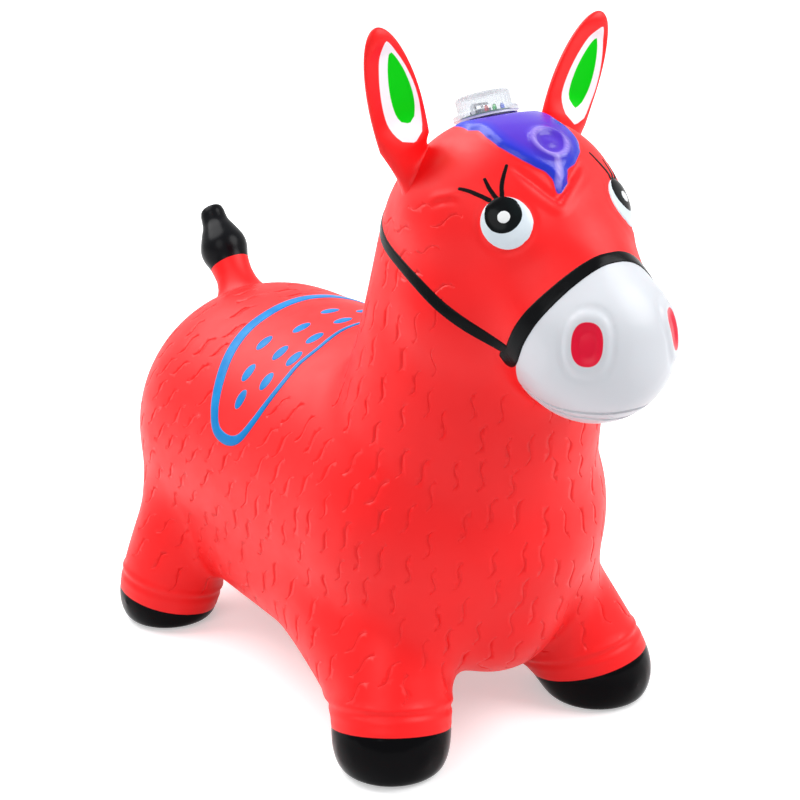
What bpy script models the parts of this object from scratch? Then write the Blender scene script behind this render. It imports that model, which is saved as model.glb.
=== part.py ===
"""Bouncy ride-on horse: a blown soft-plastic hopper with a clear music and light module on its poll.

Metres, +X towards the horse's nose, +Y to its left, +Z up, the soles on Z = 0.
The skin of the real horse is one hollow moulding. It is divided here where it bends (legs, neck base, ear roots
and tail root) and at the paint lines of the hooves and tail, so that each zone can move as it does on the toy.
"""
import math

import bmesh
import bpy
from mathutils import Matrix, Vector
from mathutils.bvhtree import BVHTree

# Stance: where the four hooves stand and how the legs lean (forward and outward for each unit of drop).
# The paint line of a hoof is measured from the hoof's centre, and tilts with a share of its leg's lean.
WHEELBASE = 0.323
TRACK = 0.1985
HOOF_CENTRE_HEIGHT = 0.021
FRONT_LEAN = (0.52, 0.38)
REAR_LEAN = (-0.12, 0.22)
LEG_LENGTH = 0.110
FRONT_LEG_RADII = (0.0455, 0.0460, 0.0450, 0.0460)
REAR_LEG_RADII = (0.0440, 0.0435, 0.0390, 0.0360)
FRONT_PAINT_HEIGHT = 0.0090
REAR_PAINT_HEIGHT = -0.0025
FRONT_PAINT_TILT = 0.5
REAR_PAINT_TILT = 1.0
BOUNCE_TRAVEL = 0.018
BOUNCE_CLEARANCE = 0.003

# Body forms, as points with a radius, measured from the middle of the stance
TORSO = (((-0.135, 0.0, 0.160), 0.120), ((-0.06, 0.0, 0.158), 0.122),
         ((0.02, 0.0, 0.158), 0.123), ((0.094, 0.0, 0.163), 0.124))
BELLY = (((-0.095, 0.045, 0.098), 0.062), ((-0.02, 0.050, 0.100), 0.064),
         ((0.05, 0.058, 0.100), 0.062), ((0.126, 0.082, 0.064), 0.050))
NECK = (((0.112, 0.0, 0.200), 0.102), ((0.136, 0.0, 0.280), 0.093),
        ((0.142, 0.0, 0.340), 0.0845), ((0.144, 0.0, 0.380), 0.078))
HEAD = (((0.170, 0.0, 0.386), 0.071), ((0.195, 0.0, 0.372), 0.070),
        ((0.228, 0.0, 0.352), 0.059), ((0.258, 0.0, 0.331), 0.0575))
BRISKET = ((0.148, 0.0, 0.105), 0.060)
SHOULDER = ((0.128, 0.045, 0.115), 0.064)
HAUNCH = ((-0.152, 0.050, 0.110), 0.067)
CHEEK = ((0.165, 0.024, 0.340), 0.066)
EYE_BULGE = ((0.207, 0.040, 0.400), 0.026)
SKULL_CENTRE = (0.164, 0.0, 0.399)
SKULL_RADII = (0.075, 0.084, 0.072)

# The moulding: wall, how softly the forms run together, and how many triangles describe it
SKIN_WALL = 0.0018
BLEND_VOXEL = 0.006
BLEND_STEPS = 31
BLEND_STRENGTH = 0.5
SKIN_TRIANGLES = 2000
ZONE_GAP = 0.0004

# Neck base: the band of skin that folds when the head nods
NECK_BAND_POINT = (0.142, 0.0, 0.285)
NECK_BAND_SLOPE = 0.185
NECK_BAND_HEIGHT = 0.022

# Ears: seat on the skull, lean outward and forward, then the blade's own size
EAR_SEAT_DIRECTION = (-0.35, 0.84, 0.46)
EAR_LEAN = (0.07, 0.28, 0.95)
EAR_LENGTH = 0.098
EAR_HALF_WIDTH = 0.0215
EAR_ROOT_HALF_WIDTH = 0.0180
EAR_FLATNESS = 0.43
EAR_WIDEST = 0.42
EAR_EMBED = 0.016
EAR_HINGE_HEIGHT = 0.014
EAR_ROOT_HEIGHT = 0.022
EAR_BENDS = 8

# Tail: a bent red root and a black tuft that swells and narrows to a blunt tip
TAIL_SEAT_DIRECTION = (-0.50, 0.0, 0.866)
TAIL_LEAN = (-0.66, 0.0, 0.75)
TAIL_CURL = 0.10
TAIL_ROOT_LENGTH = 0.026
TAIL_TUFT_LENGTH = 0.052
TAIL_EMBED = 0.014
TAIL_ROOT_RADIUS = 0.0165
TUFT_BULGE_RADIUS = 0.0215
TUFT_BULGE_SHARE = 0.35
TUFT_WAIST_SHARE = 0.68
TUFT_WAIST_RADIUS = 0.0115
TUFT_TIP_RADIUS = 0.0100
TAIL_HINGE_HEIGHT = 0.012

# Air plug in the belly, pressed into a thickened boss
PLUG_X = -0.030
PLUG_RADIUS = 0.0050
PLUG_TAPER = 0.0006
PLUG_LENGTH = 0.014
PLUG_HEAD_RADIUS = 0.0080
PLUG_HEAD_THICKNESS = 0.0022
PLUG_FIT = 0.0004
BOSS_RADIUS = 0.0105
BOSS_HEIGHT = 0.0070
BOSS_SEAT_DEPTH = 0.0012

# Music and light module, seated in a pocket moulded into the poll
MODULE_TILT = math.radians(21.5)
MODULE_SEAT_DEPTH = 0.0025
MODULE_FIT = 0.0004
TUB_RADIUS = 0.0175
TUB_DEPTH = 0.0125
TUB_WALL = 0.0014
FLANGE_RADIUS = 0.0220
FLANGE_THICKNESS = 0.0015
CAP_RADIUS = 0.0200
CAP_HEIGHT = 0.0130
CAP_WALL = 0.0012
KNURL_DEPTH = 0.0005
KNURL_COUNT = 40
PART_GAP = 0.0003
BOARD_THICKNESS = 0.0012
BOARD_CLEARANCE = 0.0004
CELL_RADIUS = 0.00395
CELL_THICKNESS = 0.0036
CELL_COUNT = 3
CELL_SIDES = 28
CELL_ROW_X = -0.0050
HOLDER_FLOOR = 0.0005
HOLDER_WALL = 0.0007
HOLDER_HEIGHT = 0.0038
CONTACT_THICKNESS = 0.0004
CONTACT_WIDTH = 0.0045
CONTACT_HEIGHT = 0.0070
LED_RADIUS = 0.0015
LED_HEIGHT = 0.0046
LED_X = 0.0110
LED_SPACING = 0.0070
CHIP_RADIUS = 0.0030
CHIP_HEIGHT = 0.0012
CHIP_PLACE = (0.0052, 0.0050)
TREMBLER_PLACE = (0.0052, -0.0055)
TREMBLER_COIL_RADIUS = 0.0016
TREMBLER_WIRE_RADIUS = 0.0002
TREMBLER_TURNS = 5
TREMBLER_POINTS_PER_TURN = 8
TREMBLER_HEIGHT = 0.0055
TREMBLER_PIN_RADIUS = 0.0005
TREMBLER_PIN_HEIGHT = 0.0065
SPEAKER_RADIUS = 0.0135
SPEAKER_THICKNESS = 0.0005
WIRE_RADIUS = 0.0004
WIRE_SPREAD = 0.0060
WIRE_BENDS = 8

SIDES = (("left", 1.0), ("right", -1.0))
ENDS = (("front", 1.0, FRONT_LEAN, FRONT_LEG_RADII, (FRONT_PAINT_HEIGHT, FRONT_PAINT_TILT)),
        ("rear", -1.0, REAR_LEAN, REAR_LEG_RADII, (REAR_PAINT_HEIGHT, REAR_PAINT_TILT)))
FAR = 0.6
SHARP_EDGE = math.radians(40)

RED_SKIN = ((0.78, 0.035, 0.04, 1.0), 0.38, 0.0)
BLACK_PAINT = ((0.012, 0.012, 0.016, 1.0), 0.25, 0.0)
WHITE_PLASTIC = ((0.85, 0.85, 0.84, 1.0), 0.35, 0.0)
CLEAR_PLASTIC = ((0.90, 0.92, 0.93, 1.0), 0.08, 0.0)
GREEN_BOARD = ((0.02, 0.22, 0.07, 1.0), 0.45, 0.0)
STEEL = ((0.62, 0.63, 0.65, 1.0), 0.25, 1.0)
BRASS = ((0.75, 0.55, 0.22, 1.0), 0.3, 1.0)
BLACK_RESIN = ((0.01, 0.01, 0.01, 1.0), 0.4, 0.0)
LED_LENSES = {"red": ((0.8, 0.05, 0.05, 1.0), 0.1, 0.0),
              "green": ((0.05, 0.7, 0.12, 1.0), 0.1, 0.0),
              "blue": ((0.06, 0.15, 0.85, 1.0), 0.1, 0.0)}
RED_WIRE = ((0.6, 0.02, 0.02, 1.0), 0.5, 0.0)
BLACK_WIRE = ((0.01, 0.01, 0.01, 1.0), 0.5, 0.0)


def fresh_collections():
    """Empty the scene and make one collection for the parts and one for the cutters."""
    for obj in list(bpy.data.objects):
        bpy.data.objects.remove(obj)
    made = []
    for name in ("bouncy_ride_on_horse", "cutters"):
        collection = bpy.data.collections.new(name)
        bpy.context.scene.collection.children.link(collection)
        made.append(collection)
    return made


PARTS, CUTTERS = fresh_collections()


def evaluated_mesh(obj):
    """The object's mesh with its modifiers worked out."""
    graph = bpy.context.evaluated_depsgraph_get()
    graph.update()
    return bpy.data.meshes.new_from_object(obj.evaluated_get(graph))


def apply_modifiers(obj):
    """Turn the object's modifiers into plain mesh."""
    obj.data = evaluated_mesh(obj)
    obj.modifiers.clear()
    return obj


def mesh_object(name, bm, collection=PARTS):
    """An object made from a bmesh, which is freed."""
    mesh = bpy.data.meshes.new(name)
    bm.to_mesh(mesh)
    bm.free()
    obj = bpy.data.objects.new(name, mesh)
    collection.objects.link(obj)
    if collection is CUTTERS:
        obj.hide_render = True
        obj.display_type = "WIRE"
    return obj


def copy_of(obj, name):
    """A part with its own copy of another object's mesh."""
    twin = bpy.data.objects.new(name, obj.data.copy())
    PARTS.objects.link(twin)
    return twin


def boolean(target, cutter, operation="DIFFERENCE"):
    """Cut, join or trim the target with the cutter, as plain mesh."""
    modifier = target.modifiers.new(operation.lower(), "BOOLEAN")
    modifier.operation = operation
    modifier.solver = "EXACT"
    modifier.object = cutter
    return apply_modifiers(target)


def finish(obj, look):
    """Give the part its own Principled material and smooth its round faces."""
    colour, roughness, metallic = look
    material = bpy.data.materials.new(obj.name + "_finish")
    material.use_nodes = True
    shader = material.node_tree.nodes["Principled BSDF"]
    shader.inputs["Base Color"].default_value = colour
    shader.inputs["Roughness"].default_value = roughness
    shader.inputs["Metallic"].default_value = metallic
    obj.data.materials.clear()
    obj.data.materials.append(material)
    obj.data.shade_smooth()
    obj.data.set_sharp_from_angle(angle=SHARP_EDGE)
    return obj


def frame_along(origin, up, forward=(1.0, 0.0, 0.0)):
    """A placing matrix whose Z runs along up and whose X lies towards forward."""
    z_axis = Vector(up).normalized()
    y_axis = z_axis.cross(Vector(forward)).normalized()
    x_axis = y_axis.cross(z_axis)
    turn = Matrix((x_axis, y_axis, z_axis)).transposed().to_4x4()
    return Matrix.Translation(origin) @ turn


def cylinder(radius, low, high, segments=40):
    """A bmesh cylinder along Z, from low to high."""
    bm = bmesh.new()
    middle = Matrix.Translation((0.0, 0.0, (low + high) / 2))
    bmesh.ops.create_cone(bm, cap_ends=True, segments=segments, radius1=radius, radius2=radius,
                          depth=high - low, matrix=middle)
    return bm


def box(low, high):
    """A bmesh box between two corners."""
    bm = bmesh.new()
    size = Vector(high) - Vector(low)
    middle = (Vector(high) + Vector(low)) / 2
    bmesh.ops.create_cube(bm, size=1.0, matrix=Matrix.Translation(middle) @ Matrix.Diagonal((*size, 1.0)))
    return bm


def placed(name, bm, matrix, collection=PARTS):
    """An object made from a bmesh whose points are moved by the matrix."""
    bm.transform(matrix)
    return mesh_object(name, bm, collection)


def cutter(name, bm, matrix=Matrix.Identity(4)):
    """A wire guide that only cuts."""
    return placed(name, bm, matrix, CUTTERS)


def tube_mesh(points, radii, sides=6, rings=8, kind="NURBS"):
    """A closed mesh tube along points, with its own radius at each one."""
    curve = bpy.data.curves.new("tube", "CURVE")
    curve.dimensions = "3D"
    curve.bevel_depth = 1.0
    curve.bevel_resolution = sides
    curve.use_fill_caps = True
    spline = curve.splines.new(kind)
    spline.points.add(len(points) - 1)
    spline.use_endpoint_u = True
    spline.order_u = 3
    spline.resolution_u = rings
    for point, place, radius in zip(spline.points, points, radii):
        point.co = (*place, 1.0)
        point.radius = radius
    holder = bpy.data.objects.new("tube", curve)
    bpy.context.scene.collection.objects.link(holder)
    bm = bmesh.new()
    bm.from_mesh(evaluated_mesh(holder))
    bpy.data.objects.remove(holder)
    bmesh.ops.remove_doubles(bm, verts=bm.verts, dist=1e-6)
    bmesh.ops.recalc_face_normals(bm, faces=bm.faces)
    return bm


def add_ball(bm, centre, radii):
    """Add a ball or an egg to the forms."""
    matrix = Matrix.Translation(centre) @ Matrix.Diagonal((*radii, 1.0))
    bmesh.ops.create_uvsphere(bm, u_segments=32, v_segments=20, radius=1.0, matrix=matrix)


def add_limb(bm, points, radii):
    """Add a round-ended limb to the forms."""
    limb = tube_mesh(points, radii)
    mesh = bpy.data.meshes.new("limb")
    limb.to_mesh(mesh)
    limb.free()
    bm.from_mesh(mesh)
    for place, radius in ((points[0], radii[0]), (points[-1], radii[-1])):
        add_ball(bm, place, (radius,) * 3)


def leg_axis(end, side, lean):
    """The hoof's centre and the direction up its leg."""
    foot = Vector((end * WHEELBASE / 2, side * TRACK / 2, HOOF_CENTRE_HEIGHT))
    up = Vector((-lean[0], -side * lean[1], 1.0)).normalized()
    return foot, up


def body_forms():
    """All the overlapping forms of trunk, neck, head and legs."""
    bm = bmesh.new()
    for path in (TORSO, NECK, HEAD):
        add_limb(bm, [point for point, radius in path], [radius for point, radius in path])
    add_ball(bm, SKULL_CENTRE, SKULL_RADII)
    add_ball(bm, BRISKET[0], (BRISKET[1],) * 3)
    for _, side in SIDES:
        mirror = Matrix.Diagonal((1.0, side, 1.0))
        for centre, radius in (SHOULDER, HAUNCH, CHEEK, EYE_BULGE):
            add_ball(bm, mirror @ Vector(centre), (radius,) * 3)
        add_limb(bm, [mirror @ Vector(point) for point, radius in BELLY], [radius for point, radius in BELLY])
        for _, end, lean, radii, _ in ENDS:
            foot, up = leg_axis(end, side, lean)
            step = LEG_LENGTH / (len(radii) - 1)
            add_limb(bm, [foot + up * step * i for i in range(len(radii))], radii)
    return bm


def moulded_skin():
    """The forms run together into one soft outer skin with few triangles."""
    skin = cutter("outer_skin", body_forms())
    remesh = skin.modifiers.new("run_together", "REMESH")
    remesh.mode = "VOXEL"
    remesh.voxel_size = BLEND_VOXEL
    soften = skin.modifiers.new("soften", "SMOOTH")
    soften.factor = BLEND_STRENGTH
    soften.iterations = BLEND_STEPS
    apply_modifiers(skin)
    skin.data.calc_loop_triangles()
    thin = skin.modifiers.new("thin_out", "DECIMATE")
    thin.ratio = SKIN_TRIANGLES / len(skin.data.loop_triangles)
    thin.use_symmetry = True
    thin.symmetry_axis = "Y"
    thin.use_collapse_triangulate = True
    return apply_modifiers(skin)


def swollen(skin, name, amount):
    """A cutter in the shape of the skin, moved out by an amount, or in where it is negative."""
    twin = cutter(name, bmesh.new())
    twin.data = skin.data.copy()
    swell = twin.modifiers.new("swell", "DISPLACE")
    swell.strength = amount
    swell.mid_level = 0.0
    return apply_modifiers(twin)


def surface_tree(obj):
    """A search tree over the object's faces."""
    bm = bmesh.new()
    bm.from_mesh(obj.data)
    tree = BVHTree.FromBMesh(bm)
    bm.free()
    return tree


def skin_point(tree, centre, direction):
    """Where the ray from inside the body leaves the skin."""
    out = Vector(direction).normalized()
    place, _, _, _ = tree.ray_cast(Vector(centre) + out * FAR, -out)
    return place


def module_frame(tree):
    """The module's seat on the poll, with Z along its axis."""
    axis = Vector((-math.sin(MODULE_TILT), 0.0, math.cos(MODULE_TILT)))
    poll = skin_point(tree, SKULL_CENTRE, axis)
    return frame_along(poll - axis * MODULE_SEAT_DEPTH, axis)


def plug_frame(tree):
    """The air plug's seat under the belly, with Z up its axis."""
    belly = skin_point(tree, (PLUG_X, 0.0, TORSO[1][0][2]), (0.0, 0.0, -1.0))
    return Matrix.Translation(belly + Vector((0.0, 0.0, BOSS_SEAT_DEPTH)))


def hollow_skin(outer, module, plug):
    """The whole skin as one shell, with flat soles, the module's pocket and the plug's boss and bore."""
    shell = copy_of(outer, "whole_skin")
    ground = cutter("ground", box((-FAR, -FAR, -FAR), (FAR, FAR, 0.0)))
    boolean(shell, ground)
    pocket_radius = TUB_RADIUS + MODULE_FIT
    pocket_depth = TUB_DEPTH + MODULE_FIT
    seat_radius = FLANGE_RADIUS + MODULE_FIT
    boolean(shell, cutter("module_seat", cylinder(seat_radius, 0.0, FLANGE_RADIUS), module))
    boolean(shell, cutter("module_pocket", cylinder(pocket_radius, -pocket_depth, MODULE_FIT), module))
    boolean(shell, cutter("plug_seat", cylinder(PLUG_HEAD_RADIUS + PLUG_FIT, -BOSS_HEIGHT, 0.0), plug))
    core = swollen(outer, "air_core", -SKIN_WALL)
    boolean(core, cutter("sole_wall", box((-FAR, -FAR, -FAR), (FAR, FAR, SKIN_WALL))))
    pocket_wall = cylinder(pocket_radius + SKIN_WALL, -pocket_depth - SKIN_WALL, FLANGE_RADIUS)
    boolean(core, cutter("pocket_wall", pocket_wall, module))
    seat_wall = cylinder(seat_radius + SKIN_WALL, -SKIN_WALL, FLANGE_RADIUS)
    boolean(core, cutter("seat_wall", seat_wall, module))
    boolean(core, cutter("plug_boss", cylinder(BOSS_RADIUS, -BOSS_HEIGHT, BOSS_HEIGHT), plug))
    boolean(shell, core)
    bore = cylinder(PLUG_RADIUS + PLUG_FIT, -BOSS_HEIGHT, 2 * BOSS_HEIGHT)
    boolean(shell, cutter("plug_bore", bore, plug))
    return shell


def leg_nodes(shell, torso):
    """Cut the four hooves and the folding legs above them out of the skin, and the room they need."""
    nodes = []
    for end_name, end, lean, radii, (paint, tilt) in ENDS:
        for side_name, side in SIDES:
            name = end_name + "_" + side_name
            foot, up = leg_axis(end, side, lean)
            up = Vector((0.0, 0.0, 1.0)).lerp(up, tilt).normalized()
            frame = frame_along(foot, up)
            drift = BOUNCE_TRAVEL * math.sqrt(1.0 - up.z ** 2)
            reach = max(radii[0], radii[1]) + drift + BOUNCE_CLEARANCE
            root = paint + BOUNCE_TRAVEL * up.z + BOUNCE_CLEARANCE
            hoof = boolean(copy_of(shell, name + "_hoof"),
                           cutter(name + "_paint_line", cylinder(reach, -FAR / 4, paint), frame), "INTERSECT")
            leg = boolean(copy_of(shell, name + "_leg"),
                          cutter(name + "_fold", cylinder(reach, paint + ZONE_GAP, root), frame), "INTERSECT")
            room = cylinder(reach + ZONE_GAP, -FAR / 4, root + ZONE_GAP)
            boolean(torso, cutter(name + "_room", room, frame))
            nodes.append((hoof, BLACK_PAINT, name + "_bounce", Matrix.Translation(foot)))
            nodes.append((leg, RED_SKIN, None, None))
    return nodes


def neck_frame():
    """The nod hinge in the middle of the neck band, with Z square to the band."""
    up = Vector((NECK_BAND_SLOPE, 0.0, 1.0)).normalized()
    return frame_along(Vector(NECK_BAND_POINT) - up * NECK_BAND_HEIGHT / 2, up)


def neck_nodes(shell, torso):
    """Divide the skin at the folding band round the base of the neck."""
    frame = neck_frame()
    half = NECK_BAND_HEIGHT / 2
    band = box((-FAR, -FAR, -half), (FAR, FAR, half))
    neck = boolean(copy_of(shell, "neck_base"), cutter("neck_band", band, frame), "INTERSECT")
    above = cutter("above_neck", box((-FAR, -FAR, half + ZONE_GAP), (FAR, FAR, FAR)), frame)
    head = boolean(copy_of(shell, "head_skin"), above, "INTERSECT")
    boolean(torso, cutter("from_neck_up", box((-FAR, -FAR, -half - ZONE_GAP), (FAR, FAR, FAR)), frame))
    return neck, head


def ear_half_width(share):
    """Half the ear's width at a share of its length, from a straight root to a round tip."""
    if share < EAR_WIDEST:
        rise = max(share, 0.0) / EAR_WIDEST
        return EAR_ROOT_HALF_WIDTH + (EAR_HALF_WIDTH - EAR_ROOT_HALF_WIDTH) * math.sin(rise * math.pi / 2)
    fall = (share - EAR_WIDEST) / (1.0 - EAR_WIDEST)
    return EAR_HALF_WIDTH * math.sqrt(max(1.0 - fall ** 2, 0.0))


def ear_form(inset):
    """A leaf-shaped ear standing along Z, facing X; the inset one starts lower, so it opens the base."""
    top = EAR_LENGTH - inset
    bends = [math.sin(math.pi / 2 * i / EAR_BENDS) for i in range(EAR_BENDS)]
    heights = [-EAR_EMBED - inset] + [top * bend for bend in bends] + [top]
    radii = [max(ear_half_width(height / top) - inset, inset / 4) for height in heights]
    radii[-1] = SKIN_WALL / 4
    bm = tube_mesh([(0.0, 0.0, height) for height in heights], radii, sides=5, kind="POLY")
    flat = EAR_FLATNESS + inset * (EAR_FLATNESS - 1.0) / EAR_HALF_WIDTH
    bm.transform(Matrix.Diagonal((flat, 1.0, 1.0, 1.0)))
    return bm


def ear_nodes(tree, grown, head):
    """Both ears: a folding root on the skull and a blade above it, hollow and open to the head."""
    nodes = []
    for side_name, side in SIDES:
        mirror = Matrix.Diagonal((1.0, side, 1.0))
        base = skin_point(tree, SKULL_CENTRE, mirror @ Vector(EAR_SEAT_DIRECTION))
        frame = frame_along(base, mirror @ Vector(EAR_LEAN))
        whole = placed(side_name + "_whole_ear", ear_form(0.0), frame, CUTTERS)
        air = cutter(side_name + "_ear_air", ear_form(SKIN_WALL), frame)
        boolean(whole, air)
        boolean(whole, grown)
        boolean(head, air)
        tall = 2 * EAR_LENGTH
        below = box((-tall, -tall, -tall), (tall, tall, EAR_ROOT_HEIGHT))
        above = box((-tall, -tall, EAR_ROOT_HEIGHT + ZONE_GAP), (tall, tall, tall))
        root = boolean(copy_of(whole, side_name + "_ear_root"), cutter(side_name + "_ear_below", below, frame),
                       "INTERSECT")
        blade = boolean(copy_of(whole, side_name + "_ear"), cutter(side_name + "_ear_above", above, frame),
                        "INTERSECT")
        hinge = frame @ Matrix.Translation((0.0, 0.0, EAR_HINGE_HEIGHT))
        nodes.append((blade, RED_SKIN, side_name + "_ear_hinge", hinge))
        nodes.append((root, RED_SKIN, "neck_nod", neck_frame()))
    return nodes


def tail_form(inset):
    """The tail along Z from its root to its tip, curling towards its back."""
    length = TAIL_ROOT_LENGTH + TAIL_TUFT_LENGTH
    profile = ((-TAIL_EMBED - inset, TAIL_ROOT_RADIUS), (0.0, TAIL_ROOT_RADIUS),
               (TAIL_ROOT_LENGTH, TAIL_ROOT_RADIUS),
               (TAIL_ROOT_LENGTH + TUFT_BULGE_SHARE * TAIL_TUFT_LENGTH, TUFT_BULGE_RADIUS),
               (TAIL_ROOT_LENGTH + TUFT_WAIST_SHARE * TAIL_TUFT_LENGTH, TUFT_WAIST_RADIUS),
               (length - TUFT_TIP_RADIUS / 2, TUFT_TIP_RADIUS),
               (length, TUFT_TIP_RADIUS / 3))
    top = length - inset
    points = [(TAIL_CURL * max(min(z, top), 0.0) ** 2 / length, 0.0, min(z, top)) for z, radius in profile]
    radii = [max(radius - inset, inset / 4) for z, radius in profile]
    return tube_mesh(points, radii, sides=4, rings=3)


def tail_nodes(tree, grown, torso):
    """The red folding root and the black tuft, hollow and open to the body."""
    base = skin_point(tree, TORSO[0][0], TAIL_SEAT_DIRECTION)
    frame = frame_along(base, TAIL_LEAN)
    whole = placed("whole_tail", tail_form(0.0), frame, CUTTERS)
    air = cutter("tail_air", tail_form(SKIN_WALL), frame)
    boolean(whole, air)
    boolean(whole, grown)
    boolean(torso, air)
    tall = 2 * (TAIL_ROOT_LENGTH + TAIL_TUFT_LENGTH)
    below = box((-tall, -tall, -tall), (tall, tall, TAIL_ROOT_LENGTH))
    above = box((-tall, -tall, TAIL_ROOT_LENGTH + ZONE_GAP), (tall, tall, tall))
    root = boolean(copy_of(whole, "tail_root"), cutter("tail_below", below, frame), "INTERSECT")
    tuft = boolean(copy_of(whole, "tail_tuft"), cutter("tail_above", above, frame), "INTERSECT")
    hinge = frame @ Matrix.Translation((0.0, 0.0, TAIL_HINGE_HEIGHT))
    return [(tuft, BLACK_PAINT, "tail_hinge", hinge), (root, RED_SKIN, None, None)]


def turned(name, profile, matrix, steps=32):
    """A solid turned round Z from a profile of (radius, height) pairs, run from the top down the outside."""
    bm = bmesh.new()
    corners = [bm.verts.new((radius, 0.0, height)) for radius, height in profile]
    for upper, lower in zip(corners, corners[1:]):
        bm.edges.new((upper, lower))
    obj = mesh_object(name, bm)
    screw = obj.modifiers.new("turn", "SCREW")
    screw.steps = steps
    screw.render_steps = steps
    screw.use_merge_vertices = True
    screw.merge_threshold = 0.00001
    apply_modifiers(obj)
    obj.data.transform(matrix)
    return obj


def air_plug(plug):
    """The white push-in air plug with its pull head under the belly."""
    tip = PLUG_RADIUS - PLUG_TAPER
    profile = ((0.0, PLUG_LENGTH), (tip, PLUG_LENGTH), (PLUG_RADIUS, 0.0), (PLUG_RADIUS, -PART_GAP),
               (PLUG_HEAD_RADIUS, -PART_GAP), (PLUG_HEAD_RADIUS, -PART_GAP - PLUG_HEAD_THICKNESS),
               (0.0, -PART_GAP - PLUG_HEAD_THICKNESS))
    return turned("air_plug", profile, plug)


def knurled_disc(radius, low, high):
    """A disc whose rim has a tooth at every other point."""
    bm = bmesh.new()
    rim = bmesh.ops.create_circle(bm, cap_ends=True, radius=radius, segments=2 * KNURL_COUNT,
                                  matrix=Matrix.Translation((0.0, 0.0, low)))["verts"]
    for vert in rim[::2]:
        vert.co.xy *= 1.0 + KNURL_DEPTH / radius
    side = bmesh.ops.extrude_face_region(bm, geom=list(bm.faces))
    raised = [item for item in side["geom"] if isinstance(item, bmesh.types.BMVert)]
    bmesh.ops.translate(bm, verts=raised, vec=(0.0, 0.0, high - low))
    bmesh.ops.recalc_face_normals(bm, faces=bm.faces)
    return bm


def module_case(module):
    """The white tub in its pocket and the clear knurled cap on its flange."""
    inner = TUB_RADIUS - TUB_WALL
    top = PART_GAP + FLANGE_THICKNESS
    tub_profile = ((inner, top), (FLANGE_RADIUS, top), (FLANGE_RADIUS, PART_GAP), (TUB_RADIUS, PART_GAP),
                   (TUB_RADIUS, -TUB_DEPTH), (0.0, -TUB_DEPTH), (0.0, TUB_WALL - TUB_DEPTH),
                   (inner, TUB_WALL - TUB_DEPTH), (inner, top))
    tub = turned("module_tub", tub_profile, module)
    low = top + PART_GAP
    cap = placed("module_cap", knurled_disc(CAP_RADIUS, low, low + CAP_HEIGHT), module)
    hollow = cylinder(CAP_RADIUS - CAP_WALL, low - CAP_WALL, low + CAP_HEIGHT - CAP_WALL)
    boolean(cap, cutter("cap_hollow", hollow, module))
    return [(tub, WHITE_PLASTIC), (cap, CLEAR_PLASTIC)]


def dome(radius, height, straight):
    """A bullet along Z: a straight side and a half-round top."""
    bm = bmesh.new()
    bmesh.ops.create_uvsphere(bm, u_segments=12, v_segments=8, radius=radius)
    bmesh.ops.bisect_plane(bm, geom=list(bm.verts) + list(bm.edges) + list(bm.faces), plane_co=(0.0, 0.0, 0.0),
                           plane_no=(0.0, 0.0, -1.0), clear_outer=True, dist=1e-7)
    bmesh.ops.scale(bm, vec=(1.0, 1.0, (height - straight) / radius), verts=bm.verts)
    rim = [edge for edge in bm.edges if edge.is_boundary]
    if straight:
        drop = bmesh.ops.extrude_edge_only(bm, edges=rim)["geom"]
        low = [item for item in drop if isinstance(item, bmesh.types.BMVert)]
        bmesh.ops.translate(bm, verts=low, vec=(0.0, 0.0, -straight))
        rim = [edge for edge in bm.edges if edge.is_boundary]
    bmesh.ops.contextual_create(bm, geom=rim)
    bmesh.ops.recalc_face_normals(bm, faces=bm.faces)
    bmesh.ops.translate(bm, verts=bm.verts, vec=(0.0, 0.0, straight))
    return bm


def module_works(module):
    """What the clear cap shows: the board, cells in their holder, lamps, chip and shake switch."""
    board_low = FLANGE_THICKNESS + 2 * PART_GAP
    board_top = board_low + BOARD_THICKNESS
    deck = board_top + PART_GAP
    board_radius = CAP_RADIUS - CAP_WALL - BOARD_CLEARANCE
    nodes = [(placed("circuit_board", cylinder(board_radius, board_low, board_top), module), GREEN_BOARD)]
    nodes += cell_row(module, deck)
    for index, (colour, look) in enumerate(LED_LENSES.items()):
        spot = module @ Matrix.Translation((LED_X, (index - 1) * LED_SPACING, deck))
        lamp = dome(LED_RADIUS, LED_HEIGHT, LED_HEIGHT - LED_RADIUS)
        nodes.append((placed("led_" + colour, lamp, spot), look))
    spot = module @ Matrix.Translation((*CHIP_PLACE, deck))
    nodes.append((placed("chip_blob", dome(CHIP_RADIUS, CHIP_HEIGHT, 0.0), spot), BLACK_RESIN))
    nodes += shake_switch(module @ Matrix.Translation((*TREMBLER_PLACE, deck)))
    nodes += speaker_and_leads(module, board_low)
    return nodes


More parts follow.
